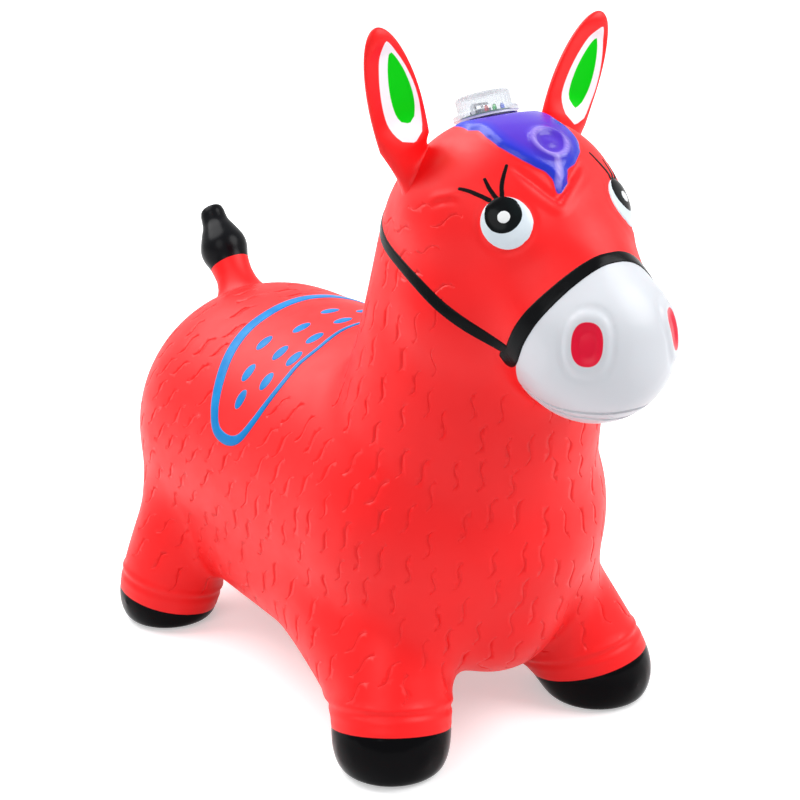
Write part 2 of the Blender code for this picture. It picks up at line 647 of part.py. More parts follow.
def cell_row(module, deck):
    """Button cells lying end to end in a cradle, with a contact leaf at each end."""
    row = CELL_COUNT * (CELL_THICKNESS + PART_GAP) - PART_GAP
    axis_height = deck + HOLDER_FLOOR + PART_GAP + CELL_RADIUS
    half = CELL_RADIUS + PART_GAP + HOLDER_WALL
    lie = Matrix.Rotation(-math.pi / 2, 4, "X")
    row_frame = module @ Matrix.Translation((CELL_ROW_X, 0.0, axis_height)) @ lie
    nodes = []
    for index in range(CELL_COUNT):
        low = -row / 2 + index * (CELL_THICKNESS + PART_GAP)
        disc = cylinder(CELL_RADIUS, low, low + CELL_THICKNESS, segments=CELL_SIDES)
        nodes.append((placed("button_cell_%d" % (index + 1), disc, row_frame), STEEL))
    cradle = placed("cell_holder", box((CELL_ROW_X - half, -row / 2, deck),
                                       (CELL_ROW_X + half, row / 2, deck + HOLDER_HEIGHT)), module)
    trough = cylinder(CELL_RADIUS + PART_GAP, -row, row, segments=CELL_SIDES)
    boolean(cradle, cutter("cell_trough", trough, row_frame))
    nodes.append((cradle, BLACK_RESIN))
    for name, side in (("positive_contact", 1.0), ("negative_contact", -1.0)):
        inside = side * (row / 2 + PART_GAP)
        outside = inside + side * CONTACT_THICKNESS
        leaf = box((CELL_ROW_X - CONTACT_WIDTH / 2, min(inside, outside), deck),
                   (CELL_ROW_X + CONTACT_WIDTH / 2, max(inside, outside), deck + CONTACT_HEIGHT))
        nodes.append((placed(name, leaf, module), BRASS))
    return nodes


def shake_switch(spot):
    """A fine coil round a pin, which touch when the horse is bounced."""
    count = TREMBLER_TURNS * TREMBLER_POINTS_PER_TURN
    rise = TREMBLER_HEIGHT - 2 * TREMBLER_WIRE_RADIUS
    points = []
    for index in range(count + 1):
        angle = 2 * math.pi * index / TREMBLER_POINTS_PER_TURN
        points.append((TREMBLER_COIL_RADIUS * math.cos(angle), TREMBLER_COIL_RADIUS * math.sin(angle),
                       TREMBLER_WIRE_RADIUS + rise * index / count))
    coil = tube_mesh(points, [TREMBLER_WIRE_RADIUS] * len(points), sides=1, kind="POLY")
    gap = rise / TREMBLER_TURNS - 2 * TREMBLER_WIRE_RADIUS
    print("shake switch coil: gap between turns %.2f mm" % (gap * 1000))
    pin = cylinder(TREMBLER_PIN_RADIUS, 0.0, TREMBLER_PIN_HEIGHT, segments=16)
    return [(placed("trembler_spring", coil, spot), STEEL), (placed("trembler_pin", pin, spot), STEEL)]


def speaker_and_leads(module, board_low):
    """The thin sounder disc on the tub's floor and its two leads up to the board."""
    low = TUB_WALL - TUB_DEPTH + PART_GAP
    top = low + SPEAKER_THICKNESS
    nodes = [(placed("speaker_disc", cylinder(SPEAKER_RADIUS, low, top), module), BRASS)]
    start = top + PART_GAP
    rise = board_low - PART_GAP - start
    for name, side, look in (("speaker_wire_red", 1.0, RED_WIRE), ("speaker_wire_black", -1.0, BLACK_WIRE)):
        points = []
        for index in range(WIRE_BENDS + 1):
            share = index / WIRE_BENDS
            bow = WIRE_SPREAD / 2 * math.sin(math.pi * share)
            points.append((bow, side * WIRE_SPREAD, start + rise * share))
        lead = tube_mesh(points, [WIRE_RADIUS] * len(points), sides=2, kind="POLY")
        nodes.append((placed(name, lead, module), look))
    return nodes


def settle(nodes):
    """Finish every part, hang it on the empty at its joint and bring the whole horse to its own frame."""
    corners = [obj.data.vertices[i].co for obj, _, _, _ in nodes for i in range(len(obj.data.vertices))]
    middle = (min(co.x for co in corners) + max(co.x for co in corners)) / 2
    horse = bpy.data.objects.new("horse_frame", None)
    horse.location = (-middle, 0.0, 0.0)
    PARTS.objects.link(horse)
    pivots = {}
    matrices = {}
    for obj, look, pivot_name, matrix in nodes:
        finish(obj, look)
        if pivot_name is None:
            obj.parent = horse
            continue
        if pivot_name not in pivots:
            pivot = bpy.data.objects.new(pivot_name, None)
            pivot.parent = horse
            pivot.matrix_local = matrix
            PARTS.objects.link(pivot)
            pivots[pivot_name] = pivot
            matrices[pivot_name] = matrix
        obj.data.transform(matrix.inverted())
        obj.parent = pivots[pivot_name]
    print("shift to the frame: %.4f" % -middle)
    for name in pivots:
        place = matrices[name].translation + horse.location
        axis_z = matrices[name].to_3x3().col[2]
        axis_y = matrices[name].to_3x3().col[1]
        print(name, [round(v, 4) for v in place], "z", [round(v, 4) for v in axis_z],
              "y", [round(v, 4) for v in axis_y])
    return horse


def main():
    outer = moulded_skin()
    grown = swollen(outer, "skin_with_gap", ZONE_GAP)
    tree = surface_tree(outer)
    module = module_frame(tree)
    plug = plug_frame(tree)
    shell = hollow_skin(outer, module, plug)
    torso = copy_of(shell, "torso_skin")
    nodes = leg_nodes(shell, torso)
    neck, head = neck_nodes(shell, torso)
    nodes += ear_nodes(tree, grown, head)
    nodes += tail_nodes(tree, grown, torso)
    nodes += [(torso, RED_SKIN, None, None), (neck, RED_SKIN, None, None)]
    nodes.append((head, RED_SKIN, "neck_nod", neck_frame()))
    nodes.append((air_plug(plug), WHITE_PLASTIC, "plug_slide", plug))
    for obj, look in module_case(module) + module_works(module):
        nodes.append((obj, look, "module_slide", module))
    bpy.data.objects.remove(shell)
    settle(nodes)


main()
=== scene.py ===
# %% [markdown]
# # A bouncy ride-on horse
# The toy is one blown skin of soft red plastic, full of air. Its eyes, halter, hooves and saddle are
# painted on, and a clear music and light module sits in a pocket on its head. The frame gives plain
# solids that move in the right way. This lesson dresses them: it models the skin again as one soft
# surface, presses hair marks and creases into it, lays the painted details on it and gives every piece a
# finish. All lengths are in metres. +X points to the nose, +Y to the horse's left and +Z up, and the
# soles stand on Z = 0.

import math
import random

import bmesh
import bpy
from mathutils import Matrix, Vector
from mathutils.bvhtree import BVHTree


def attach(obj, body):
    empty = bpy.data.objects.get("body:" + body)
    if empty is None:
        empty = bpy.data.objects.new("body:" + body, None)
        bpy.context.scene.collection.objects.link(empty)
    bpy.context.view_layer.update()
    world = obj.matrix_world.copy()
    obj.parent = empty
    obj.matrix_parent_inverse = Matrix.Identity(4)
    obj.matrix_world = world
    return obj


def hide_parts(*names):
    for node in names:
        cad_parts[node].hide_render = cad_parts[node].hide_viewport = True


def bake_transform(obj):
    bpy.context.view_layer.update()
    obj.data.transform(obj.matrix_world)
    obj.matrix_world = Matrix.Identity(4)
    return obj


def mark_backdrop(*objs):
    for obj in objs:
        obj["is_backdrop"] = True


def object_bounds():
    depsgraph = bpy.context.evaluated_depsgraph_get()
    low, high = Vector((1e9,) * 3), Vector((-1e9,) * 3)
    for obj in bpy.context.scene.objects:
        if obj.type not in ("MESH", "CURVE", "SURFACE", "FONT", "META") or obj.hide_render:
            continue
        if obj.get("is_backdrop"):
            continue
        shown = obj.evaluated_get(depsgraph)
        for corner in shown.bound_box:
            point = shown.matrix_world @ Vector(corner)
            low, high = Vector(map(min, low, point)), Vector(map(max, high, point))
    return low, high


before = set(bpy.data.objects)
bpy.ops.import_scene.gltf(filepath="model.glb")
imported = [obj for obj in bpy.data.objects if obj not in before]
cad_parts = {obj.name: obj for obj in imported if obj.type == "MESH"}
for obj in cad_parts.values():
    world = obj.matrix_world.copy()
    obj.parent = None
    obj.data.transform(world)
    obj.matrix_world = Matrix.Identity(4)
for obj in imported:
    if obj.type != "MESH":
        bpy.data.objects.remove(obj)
bpy.context.view_layer.update()

# %% [markdown]
# ## The forms of the body
# A blown toy has no flat faces and no corners, so its shape is easiest to think of as balls that run
# together. Each limb is a row of balls along an eased path. The path bends towards its middle points
# without touching them, which keeps the radius from jumping where two balls of different size meet.

# %% Rows of balls
TRUNK = ((-0.165, 0, 0.160, 0.120), (-0.090, 0, 0.158, 0.122),
         (-0.010, 0, 0.158, 0.123), (0.064, 0, 0.163, 0.124))
NECK = ((0.082, 0, 0.200, 0.102), (0.106, 0, 0.280, 0.093),
        (0.112, 0, 0.340, 0.0845), (0.114, 0, 0.380, 0.078))
HEAD = ((0.140, 0, 0.386, 0.071), (0.165, 0, 0.372, 0.070),
        (0.198, 0, 0.352, 0.059), (0.228, 0, 0.331, 0.0575))
BELLY = ((-0.125, 0.045, 0.098, 0.062), (-0.050, 0.050, 0.100, 0.064),
         (0.020, 0.058, 0.100, 0.062), (0.096, 0.082, 0.064, 0.050))
SKULL_CENTRE, SKULL_RADII = (0.134, 0, 0.399), (0.075, 0.084, 0.072)
BRISKET = (0.118, 0, 0.105, 0.060)
PAIRED_BALLS = ((0.098, 0.045, 0.115, 0.064), (-0.182, 0.050, 0.110, 0.067),
                (0.135, 0.024, 0.340, 0.066), (0.177, 0.040, 0.400, 0.026))
SIDES = {"left": 1.0, "right": -1.0}
BALLS_PER_BEND = 8
UP = Vector((0, 0, 1))


def mirrored(place, side):
    """The same place on one side of the horse: 1 is its left, -1 its right."""
    x, y, z = place
    return Vector((x, side * y, z))


def eased_path(points):
    """Places and radii along a limb: each middle point pulls the path towards it."""
    points = [Vector(point) for point in points]
    places = []
    for index in range(1, len(points) - 1):
        start = points[0] if index == 1 else (points[index - 1] + points[index]) / 2
        end = points[-1] if index == len(points) - 2 else (points[index] + points[index + 1]) / 2
        for step in range(BALLS_PER_BEND + 1):
            share = step / BALLS_PER_BEND
            places.append(start.lerp(points[index], share).lerp(points[index].lerp(end, share), share))
    return places


unit_ball = bmesh.new()
bmesh.ops.create_uvsphere(unit_ball, u_segments=32, v_segments=20, radius=1.0)
ball_mesh = bpy.data.meshes.new("ball")


def add_ball(bm, centre, radii):
    """One ball or egg: the unit ball, stretched and moved."""
    ball = unit_ball.copy()
    ball.transform(Matrix.Translation(centre) @ Matrix.Diagonal((*radii, 1.0)))
    ball.to_mesh(ball_mesh)
    ball.free()
    bm.from_mesh(ball_mesh)


def add_round(bm, ball, side=1.0):
    """A round ball from its centre and radius, on either side of the horse."""
    add_ball(bm, mirrored(ball[:3], side), (ball[3],) * 3)


def add_row(bm, points, side=1.0):
    """A row of balls along an eased path."""
    for ball in eased_path(points):
        add_round(bm, ball, side)


print("a limb's path has", len(eased_path(TRUNK)), "balls")

# %% [markdown]
# ## Legs
# The four legs splay, the front ones much more than the rear. Everything about a leg (its paint line, its
# ankle rings, the place where it folds) is easiest to say along its own axis, so each leg gets a small
# table of its own.

# %% Four legs
FRONT_FOOT_X, REAR_FOOT_X, FOOT_Y, FOOT_Z = 0.1315, -0.1915, 0.09925, 0.021
LEG_LENGTH = 0.110
LEGS = {}
for side_name, side in SIDES.items():
    for end_name, foot_x, lean, radii, paint, tilt in (
            ("front", FRONT_FOOT_X, (0.52, 0.38), (0.0455, 0.0460, 0.0450, 0.0460), 0.0090, 0.5),
            ("rear", REAR_FOOT_X, (-0.12, 0.22), (0.0440, 0.0435, 0.0390, 0.0360), -0.0025, 1.0)):
        up = Vector((-lean[0], -side * lean[1], 1.0)).normalized()
        LEGS[end_name + "_" + side_name] = {
            "foot": Vector((foot_x, side * FOOT_Y, FOOT_Z)), "up": up, "radii": radii, "paint": paint,
            "square": UP.lerp(up, tilt).normalized()}
print("legs:", sorted(LEGS))


def along_leg(leg, place):
    """How far a place lies above the hoof's centre, square to the paint line."""
    return (place - leg["foot"]).dot(leg["square"])


def from_leg_axis(leg, place):
    """How far a place lies from the leg's axis."""
    away = place - leg["foot"]
    return (away - leg["up"] * away.dot(leg["up"])).length


# %% [markdown]
# ## One soft skin
# A voxel remesh welds the balls into one closed surface of even squares, and a long smoothing rubs out
# every seam between them, as air pressure does. The soles are then pressed flat on the floor with a soft
# edge.

# %% Weld the balls and smooth them
SKIN_GRAIN, SKIN_SMOOTHING = 0.0042, 63
SOLE_ZONE, SOLE_EDGE, SOLE_SINK = 0.04, 0.006, 0.0003


def worked_out(obj):
    """The object's mesh with its modifiers worked out."""
    graph = bpy.context.evaluated_depsgraph_get()
    graph.update()
    return bpy.data.meshes.new_from_object(obj.evaluated_get(graph))


def new_object(name, bm):
    """A mesh object at the origin, made from a bmesh, which is freed."""
    mesh = bpy.data.meshes.new(name)
    bm.to_mesh(mesh)
    bm.free()
    obj = bpy.data.objects.new(name, mesh)
    bpy.context.scene.collection.objects.link(obj)
    return obj


balls = bmesh.new()
for row in (TRUNK, NECK, HEAD):
    add_row(balls, row)
add_ball(balls, SKULL_CENTRE, SKULL_RADII)
add_round(balls, BRISKET)
for side in SIDES.values():
    add_row(balls, BELLY, side)
    for ball in PAIRED_BALLS:
        add_round(balls, ball, side)
for leg in LEGS.values():
    steps = len(leg["radii"]) - 1
    places = [leg["foot"] + leg["up"] * LEG_LENGTH * i / steps for i in range(steps + 1)]
    add_row(balls, [(*place, radius) for place, radius in zip(places, leg["radii"])])
skin = new_object("skin_forms", balls)
weld = skin.modifiers.new("weld", "REMESH")
weld.mode = "VOXEL"
weld.voxel_size = SKIN_GRAIN
rub = skin.modifiers.new("rub", "SMOOTH")
rub.factor = 0.5
rub.iterations = SKIN_SMOOTHING
soft = bmesh.new()
soft.from_mesh(worked_out(skin))
bpy.data.objects.remove(skin)
for vert in soft.verts:
    if vert.co.z < SOLE_ZONE:
        vert.co.z = (vert.co.z + math.hypot(vert.co.z, SOLE_EDGE)) / 2 - SOLE_SINK
print("soft skin:", len(soft.verts), "points")

# %% [markdown]
# ## Finer squares where the relief is
# The even squares are fine for the trunk, but the face and the ankles carry small shapes. Their faces are
# divided once, and the new points are rubbed a little so that they follow the curve and not the old flat
# faces.

# %% Divide the face and the ankles
FACE_BACK, FACE_LOW = 0.140, 0.265
POLL_BACK, POLL_LOW = 0.100, 0.435
LEG_ZONE, ANKLE_LOW, ANKLE_TOP, ANKLE_REACH = 0.085, -0.012, 0.030, 0.06
SETTLE_ROUNDS = 3


def divide(bm, wanted):
    """Divide the faces whose middle passes the test, and let the new points settle on the curve."""
    edges = {edge for face in bm.faces if wanted(face.calc_center_median()) for edge in face.edges}
    made = bmesh.ops.subdivide_edges(bm, edges=list(edges), cuts=1, use_grid_fill=True)
    fresh = [item for item in made["geom_inner"] if isinstance(item, bmesh.types.BMVert)]
    for _ in range(SETTLE_ROUNDS):
        bmesh.ops.smooth_vert(bm, verts=fresh, factor=0.5, use_axis_x=True, use_axis_y=True, use_axis_z=True)
    return len(fresh)


def on_face(place):
    """The face, and the top of the head behind it."""
    return place.x > FACE_BACK and place.z > FACE_LOW or place.x > POLL_BACK and place.z > POLL_LOW


def on_ankle(place):
    return place.z < LEG_ZONE and any(
        ANKLE_LOW < along_leg(leg, place) < ANKLE_TOP and from_leg_axis(leg, place) < ANKLE_REACH
        for leg in LEGS.values())


print("face points:", divide(soft, on_face), "ankle points:", divide(soft, on_ankle))

# %% [markdown]
# ## Relief: nostrils, eyes, forelock, brow and ankles
# The broad shapes are pushed in or out along the surface: a sunk nostril with a raised ring round it, a
# forelock that stands up as a curl, the brow above each eye, two rings round each ankle. The skin also
# swells round the eyes and sinks beside the bridge of the nose. Each shape is a height for a place, and
# all heights are added up. In the photograph the left eye and the left nostril sit nearer to the middle
# than the right ones, so they are shifted.

# %% Heights of the relief
EYE, EYE_RADIUS = Vector((0.1938, 0.0508, 0.4122)), 0.0175
EYE_SHIFTS = {1.0: Vector((0.0028, -0.0036, 0.0)), -1.0: Vector()}
NOSTRIL = Vector((0.2641, 0.0392, 0.3446))
NOSTRIL_OUT = Vector((0.66, 0.72, 0.22)).normalized()
NOSTRIL_HALF, NOSTRIL_SQUARENESS, NOSTRIL_REACH = (0.0104, 0.0146), 2.4, 0.045
NOSTRIL_SHIFTS = {1.0: 0.0095, -1.0: 0.0}
LOCK_CENTRE = Vector((0.160, -0.003, 0.459))
LOCK_ALONG = Vector((0.89, 0.0, -0.45))
LOCK_BACK, LOCK_LOW, LOCK_REACH = 0.095, 0.41, 0.05
LOCK_EDGE = ((-0.052, 0.0), (-0.049, -0.019), (-0.043, -0.029), (-0.0245, -0.0336), (-0.0187, -0.0305),
             (-0.0073, -0.0323), (0.0052, -0.0316), (0.0146, -0.0283), (0.0227, -0.0240), (0.0305, -0.0182),
             (0.0356, -0.0128), (0.0420, -0.0100), (0.0500, -0.0115), (0.0503, -0.0066), (0.0453, 0.0012),
             (0.0375, 0.0048), (0.0338, 0.0139), (0.0249, 0.0246), (0.0147, 0.0305), (0.0040, 0.0315),
             (-0.0100, 0.0300), (-0.0210, 0.0325), (-0.0320, 0.0300), (-0.043, 0.029), (-0.049, 0.019))
MODULE_SEAT = Vector((0.1089, 0.0, 0.4627))
MODULE_AXIS = Vector((-0.3665, 0.0, 0.9304)).normalized()
CURL, CURL_RADIUS = (0.0165, 0.0017), 0.0122
BROW_FOLD = ((0.1440, 0.4170), (0.1510, 0.4215), (0.1590, 0.4240), (0.1680, 0.4235))
BROW_LINE = ((0.0215, -0.0358), (0.0330, -0.0290), (0.0575, -0.0139), (0.0411, 0.0116), (0.0300, 0.0250))
BROW_BACK, BROW_LOW, FOLD_SIDE = 0.15, 0.40, 0.055
BROW_FADE, FOLD_FADE = 0.25, 0.35
OFF_PAINT = -0.02

# Each row of a relief gives a height, the distance at which it peaks and how far it reaches.
NOSTRIL_DEPTH, NOSTRIL_FLOOR = 0.0022, 0.55
NOSTRIL_RINGS = ((0.0008, 1.24, 0.30), (-0.0005, 1.66, 0.24))
EYE_RIM = ((-0.0008, EYE_RADIUS + 0.0012, 0.0035),)
FACE_SWELLS = ((EYE, (0.0036, 0.0, 0.034)), (Vector((0.230, 0.037, 0.380)), (-0.0032, 0.0, 0.034)))
LOCK_RISE, LOCK_SLOPE, MODULE_CLEAR = 0.0030, (-0.0015, 0.0045), (0.0225, 0.0340)
CURL_RINGS = ((0.0021, CURL_RADIUS, 0.0046), (-0.0008, 0.0060, 0.0050))
BROW_RIDGES = ((0.0015, 0.0036, 0.0062), (-0.0017, -0.0020, 0.0042))
FOLD_RIDGES = ((0.0009, -0.0036, 0.0050), (-0.0012, 0.0, 0.0032))
ANKLE_RINGS = ((0.0010, 0.0190, 0.0036), (-0.0006, 0.0145, 0.0032),
               (0.0004, 0.0100, 0.0036), (-0.0003, 0.0, 0.0020))
print("an eye is", round(EYE_RADIUS * 2000, 1), "mm across")

# %% Helpers for heights and flat shapes


def bump(distance, width):
    """A smooth hill: 1 in the middle, 0 beyond the width."""
    share = min(abs(distance) / width, 1.0)
    return (1.0 - share * share) ** 2


def hills(distance, *rows):
    """The rows of a relief, added up at a distance."""
    return sum(height * bump(distance - peak, reach) for height, peak, reach in rows)


def ease(value, low, high):
    """0 below low, 1 above high, smooth between."""
    share = min(max((value - low) / (high - low), 0.0), 1.0)
    return share * share * (3.0 - 2.0 * share)


def end_fade(share, run):
    """1 along a line, fading to 0 over a share of it at either end."""
    return ease(share, 0.0, run) * ease(1.0 - share, 0.0, run)


def to_segment(spot, start, end):
    """How far a flat spot lies from a segment, how far along it from 0 to 1, and on which side."""
    run_x, run_y = end[0] - start[0], end[1] - start[1]
    away_x, away_y = spot[0] - start[0], spot[1] - start[1]
    share = min(max((away_x * run_x + away_y * run_y) / (run_x * run_x + run_y * run_y), 0.0), 1.0)
    return math.hypot(away_x - share * run_x, away_y - share * run_y), share, away_x * run_y - away_y * run_x


def beside_line(spot, line):
    """How far a flat spot lies beside a line, with a sign, and how far along the line from 0 to 1."""
    best = (1.0, 0.0)
    for index, (start, end) in enumerate(zip(line, line[1:])):
        away, share, side = to_segment(spot, start, end)
        if away < abs(best[0]):
            best = (math.copysign(away, side), (index + share) / (len(line) - 1))
    return best


def inside_edge(spot, edge):
    """How far a flat spot lies inside a closed edge; negative outside."""
    nearest, inside = 1.0, False
    for start, end in zip(edge, edge[1:] + edge[:1]):
        nearest = min(nearest, to_segment(spot, start, end)[0])
        if (start[1] > spot[1]) != (end[1] > spot[1]):
            crossing = start[0] + (spot[1] - start[1]) * (end[0] - start[0]) / (end[1] - start[1])
            inside = inside != (spot[0] < crossing)
    return nearest if inside else -nearest


print("a hill at half its reach keeps", bump(0.5, 1.0), "of its height")

# %% The relief at a place


def lock_spot(place):
    """A place on the forehead as a flat spot of the forelock: along it and across it."""
    away = place - LOCK_CENTRE
    return away.dot(LOCK_ALONG), away.y


def lock_depth(place):
    """How far a place lies inside the forelock's edge."""
    if place.z < LOCK_LOW or place.x < LOCK_BACK or abs(place.y) > LOCK_REACH:
        return OFF_PAINT
    return inside_edge(lock_spot(place), LOCK_EDGE)


def nostril_share(place, side):
    """0 in the middle of a nostril, 1 on its rim."""
    away = mirrored(place, side) - NOSTRIL
    across = NOSTRIL_OUT.cross(UP).normalized()
    rise = across.cross(NOSTRIL_OUT)
    wide = abs(away.dot(across) - NOSTRIL_SHIFTS[side]) / NOSTRIL_HALF[0]
    tall = abs(away.dot(rise)) / NOSTRIL_HALF[1]
    return (wide ** NOSTRIL_SQUARENESS + tall ** NOSTRIL_SQUARENESS) ** (1 / NOSTRIL_SQUARENESS)


def face_height(place):
    """The face's relief at a place."""
    height = 0.0
    for side in SIDES.values():
        twin = mirrored(place, side)
        if (twin - NOSTRIL).length < NOSTRIL_REACH:
            rim = nostril_share(place, side)
            height += hills(rim, *NOSTRIL_RINGS) - NOSTRIL_DEPTH * (1.0 - ease(rim, NOSTRIL_FLOOR, 1.0))
        height += hills((twin - EYE - EYE_SHIFTS[side]).length, *EYE_RIM)
        height += sum(hills((twin - centre).length, swell) for centre, swell in FACE_SWELLS)
    spot = lock_spot(place)
    depth = lock_depth(place)
    from_module = (place - MODULE_SEAT).cross(MODULE_AXIS).length
    height += LOCK_RISE * ease(depth, *LOCK_SLOPE) * ease(from_module, *MODULE_CLEAR)
    if depth > 0.0:
        height += hills(math.dist(spot, CURL), *CURL_RINGS)
    if place.x > BROW_BACK and place.z > BROW_LOW:
        beside, share = beside_line(spot, BROW_LINE)
        height += end_fade(share, BROW_FADE) * hills(beside, *BROW_RIDGES)
    if abs(place.y) > FOLD_SIDE and place.z > BROW_LOW:
        beside, share = beside_line((place.x, place.z), BROW_FOLD)
        height += end_fade(share, FOLD_FADE) * hills(beside, *FOLD_RIDGES)
    return height


def ankle_height(place):
    """Two raised rings round each ankle, and the step at the paint line."""
    return sum(hills(along_leg(leg, place) - leg["paint"], *ANKLE_RINGS)
               for leg in LEGS.values() if from_leg_axis(leg, place) < ANKLE_REACH)


nostril_height = face_height(mirrored(NOSTRIL, SIDES["right"]))
print("the right nostril is pressed in by", round(-nostril_height * 1000, 1), "mm")

# %% Push the skin in and out
soft.normal_update()
moves = []
for vert in soft.verts:
    height = 0.0
    if on_face(vert.co):
        height = face_height(vert.co)
    elif vert.co.z < LEG_ZONE:
        height = ankle_height(vert.co)
    if height:
        moves.append((vert, vert.normal * height))
for vert, move in moves:
    vert.co += move
soft.normal_update()
skin_tree = BVHTree.FromBMesh(soft)


def on_skin(place, lift=0.0):
    """The nearest place on the smooth skin, lifted off it."""
    hit, normal, _, _ = skin_tree.find_nearest(place)
    return hit + normal * lift


print("relief on", len(moves), "points")

# %% [markdown]
# ## Hair marks and creases
# The mould presses hundreds of short wavy marks into the coat. Each mark is a thin wavy tube laid on the
# surface and all of them are cut out of the skin in one go, which leaves crisp little grooves. Marks run
# round the trunk and round the neck, keep clear of each other, and stay off the face, the saddle and the
# ankles. The lines of the mouth are longer grooves of the same kind.

# %% Lay the marks out
MARK_GAP_ALONG, MARK_GAP_ACROSS = 0.0270, 0.0150
MARK_LENGTH, MARK_POINTS, MARK_WAVE = 0.0245, 9, 0.0026
MARK_RADIUS, MARK_LIFT = 0.00060, 0.00018
SADDLE_EDGE = ((-0.1245, 0.0, 0.2775), (-0.1215, 0.0345, 0.2715), (-0.1195, 0.0570, 0.2620),
               (-0.1135, 0.0765, 0.2485), (-0.1025, 0.0940, 0.2300), (-0.0915, 0.1055, 0.2120),
               (-0.0800, 0.1105, 0.2005), (-0.0620, 0.1130, 0.1985), (-0.0478, 0.1110, 0.2040),
               (-0.0385, 0.1040, 0.2175), (-0.0332, 0.0935, 0.2325), (-0.0308, 0.0815, 0.2465),
               (-0.0312, 0.0675, 0.2570), (-0.0302, 0.0500, 0.2685), (-0.0362, 0.0225, 0.2765),
               (-0.0375, 0.0, 0.279))
TRUNK_HEIGHT, TRUNK_RADIUS = 0.160, 0.118
# Areas without marks. Each box gives the least and the greatest X, the least Z and the reach to either side.
FAR = 1.0
BARE_BOXES = ((0.160, FAR, 0.290, FAR), (0.138, FAR, 0.412, FAR), (-0.035, 0.045, 0.235, FAR),
              (-0.135, -0.020, 0.260, 0.040), (-FAR, FAR, 0.452, FAR))
SADDLE_BOX, SADDLE_CLEAR = (-0.15, 0.0, 0.165), 0.012
EAR_SEAT, EAR_CLEAR = Vector((0.107, 0.064, 0.434)), 0.036
TAIL_SEAT, TAIL_CLEAR = Vector((-0.2244, 0.0, 0.2628)), 0.030
BELLY_SLOPE = -0.80
# The way the marks lie, in degrees. Behind the head they lie level above the halter's strap.
NAPE_LOW, STRAP_X, STRAP_Z, STRAP_FALL = 0.33, 0.0843, 0.3835, 0.455
NAPE_TURN, COAT_TURN, RUMP_TURN, CHEST_TURN, LOOSE_TURN = -12, 26, 20, -8, 9
draw = random.Random(11)


def unrolled(x, y, z):
    """A place on the trunk as a flat spot: along the back and down the side."""
    return x, math.atan2(abs(y), z - TRUNK_HEIGHT) * TRUNK_RADIUS


SADDLE_UNROLLED = tuple(unrolled(*place) for place in SADDLE_EDGE)


def bare(place, normal):
    """Places without hair marks: face, saddle, hollow of the back, ears, tail, belly and ankles."""
    if any(low < place.x < high and place.z > floor and abs(place.y) < reach
           for low, high, floor, reach in BARE_BOXES):
        return True
    back, front, floor = SADDLE_BOX
    if back < place.x < front and place.z > floor:
        if inside_edge(unrolled(*place), SADDLE_UNROLLED) > -SADDLE_CLEAR:
            return True
    from_ear = (Vector((place.x, abs(place.y), place.z)) - EAR_SEAT).length
    if from_ear < EAR_CLEAR or (place - TAIL_SEAT).length < TAIL_CLEAR or normal.z < BELLY_SLOPE:
        return True
    return any(along_leg(leg, place) < ANKLE_TOP + leg["paint"] and from_leg_axis(leg, place) < ANKLE_REACH
               for leg in LEGS.values())


def lie_of_hair(place, normal):
    """The way a mark runs: round the trunk, up the chest, and level behind the head above the halter."""
    side = 1.0 if place.y > 0 else -1.0
    if place.z > NAPE_LOW and place.z > STRAP_Z - (place.x - STRAP_X) * STRAP_FALL:
        run = UP.cross(normal)
        run = run if run.x > 0 else -run
        turn = NAPE_TURN * side
    else:
        steep = ease(abs(normal.x), 0.5, 0.85)
        round_trunk = Vector((side, 0, 0)).cross(normal)
        upward = UP - normal * normal.z
        run = round_trunk.lerp(upward, steep)
        rump = ease(-place.x, -0.05, 0.10) * (1.0 - ease(normal.z, 0.5, 0.9))
        turn = (COAT_TURN + RUMP_TURN * rump + CHEST_TURN * steep) * side
    run = (run - normal * run.dot(normal)).normalized()
    turn += draw.uniform(-LOOSE_TURN, LOOSE_TURN)
    run = Matrix.Rotation(math.radians(turn), 3, normal) @ run
    return run, normal.cross(run) * -side


print("the saddle's edge has", len(SADDLE_UNROLLED), "points on one side")

# %% Scatter the marks
candidates = [(vert.co.copy(), vert.normal.copy()) for vert in soft.verts]
draw.shuffle(candidates)
taken = {}
marks = []
for place, normal in candidates:
    if bare(place, normal):
        continue
    cell = tuple(int(math.floor(v / MARK_GAP_ALONG)) for v in place)
    near = [spot - place for dx in (-1, 0, 1) for dy in (-1, 0, 1) for dz in (-1, 0, 1)
            for spot in taken.get((cell[0] + dx, cell[1] + dy, cell[2] + dz), ())]
    if any(away.length < MARK_GAP_ACROSS for away in near):
        continue
    run, cross = lie_of_hair(place, normal)
    if any(math.hypot(away.dot(run) / MARK_GAP_ALONG, away.dot(cross) / MARK_GAP_ACROSS) < 1.0
           for away in near):
        continue
    taken.setdefault(cell, []).append(place)
    length = MARK_LENGTH * draw.uniform(0.85, 1.1)
    points = []
    for step in range(MARK_POINTS):
        share = 2 * step / (MARK_POINTS - 1) - 1.0
        spot = place + run * share * length / 2 + cross * MARK_WAVE * math.sin(math.pi * share * 0.95)
        hit, out, _, _ = skin_tree.find_nearest(spot)
        points.append((hit + out * MARK_LIFT, MARK_RADIUS * (0.5 + 0.5 * math.sqrt(1.0 - share * share))))
    marks.append(points)
print("hair marks:", len(marks))

# %% [markdown]
# ## Long creases
# These run through points read from the photograph, on one side of the face, and are mirrored to the
# other.

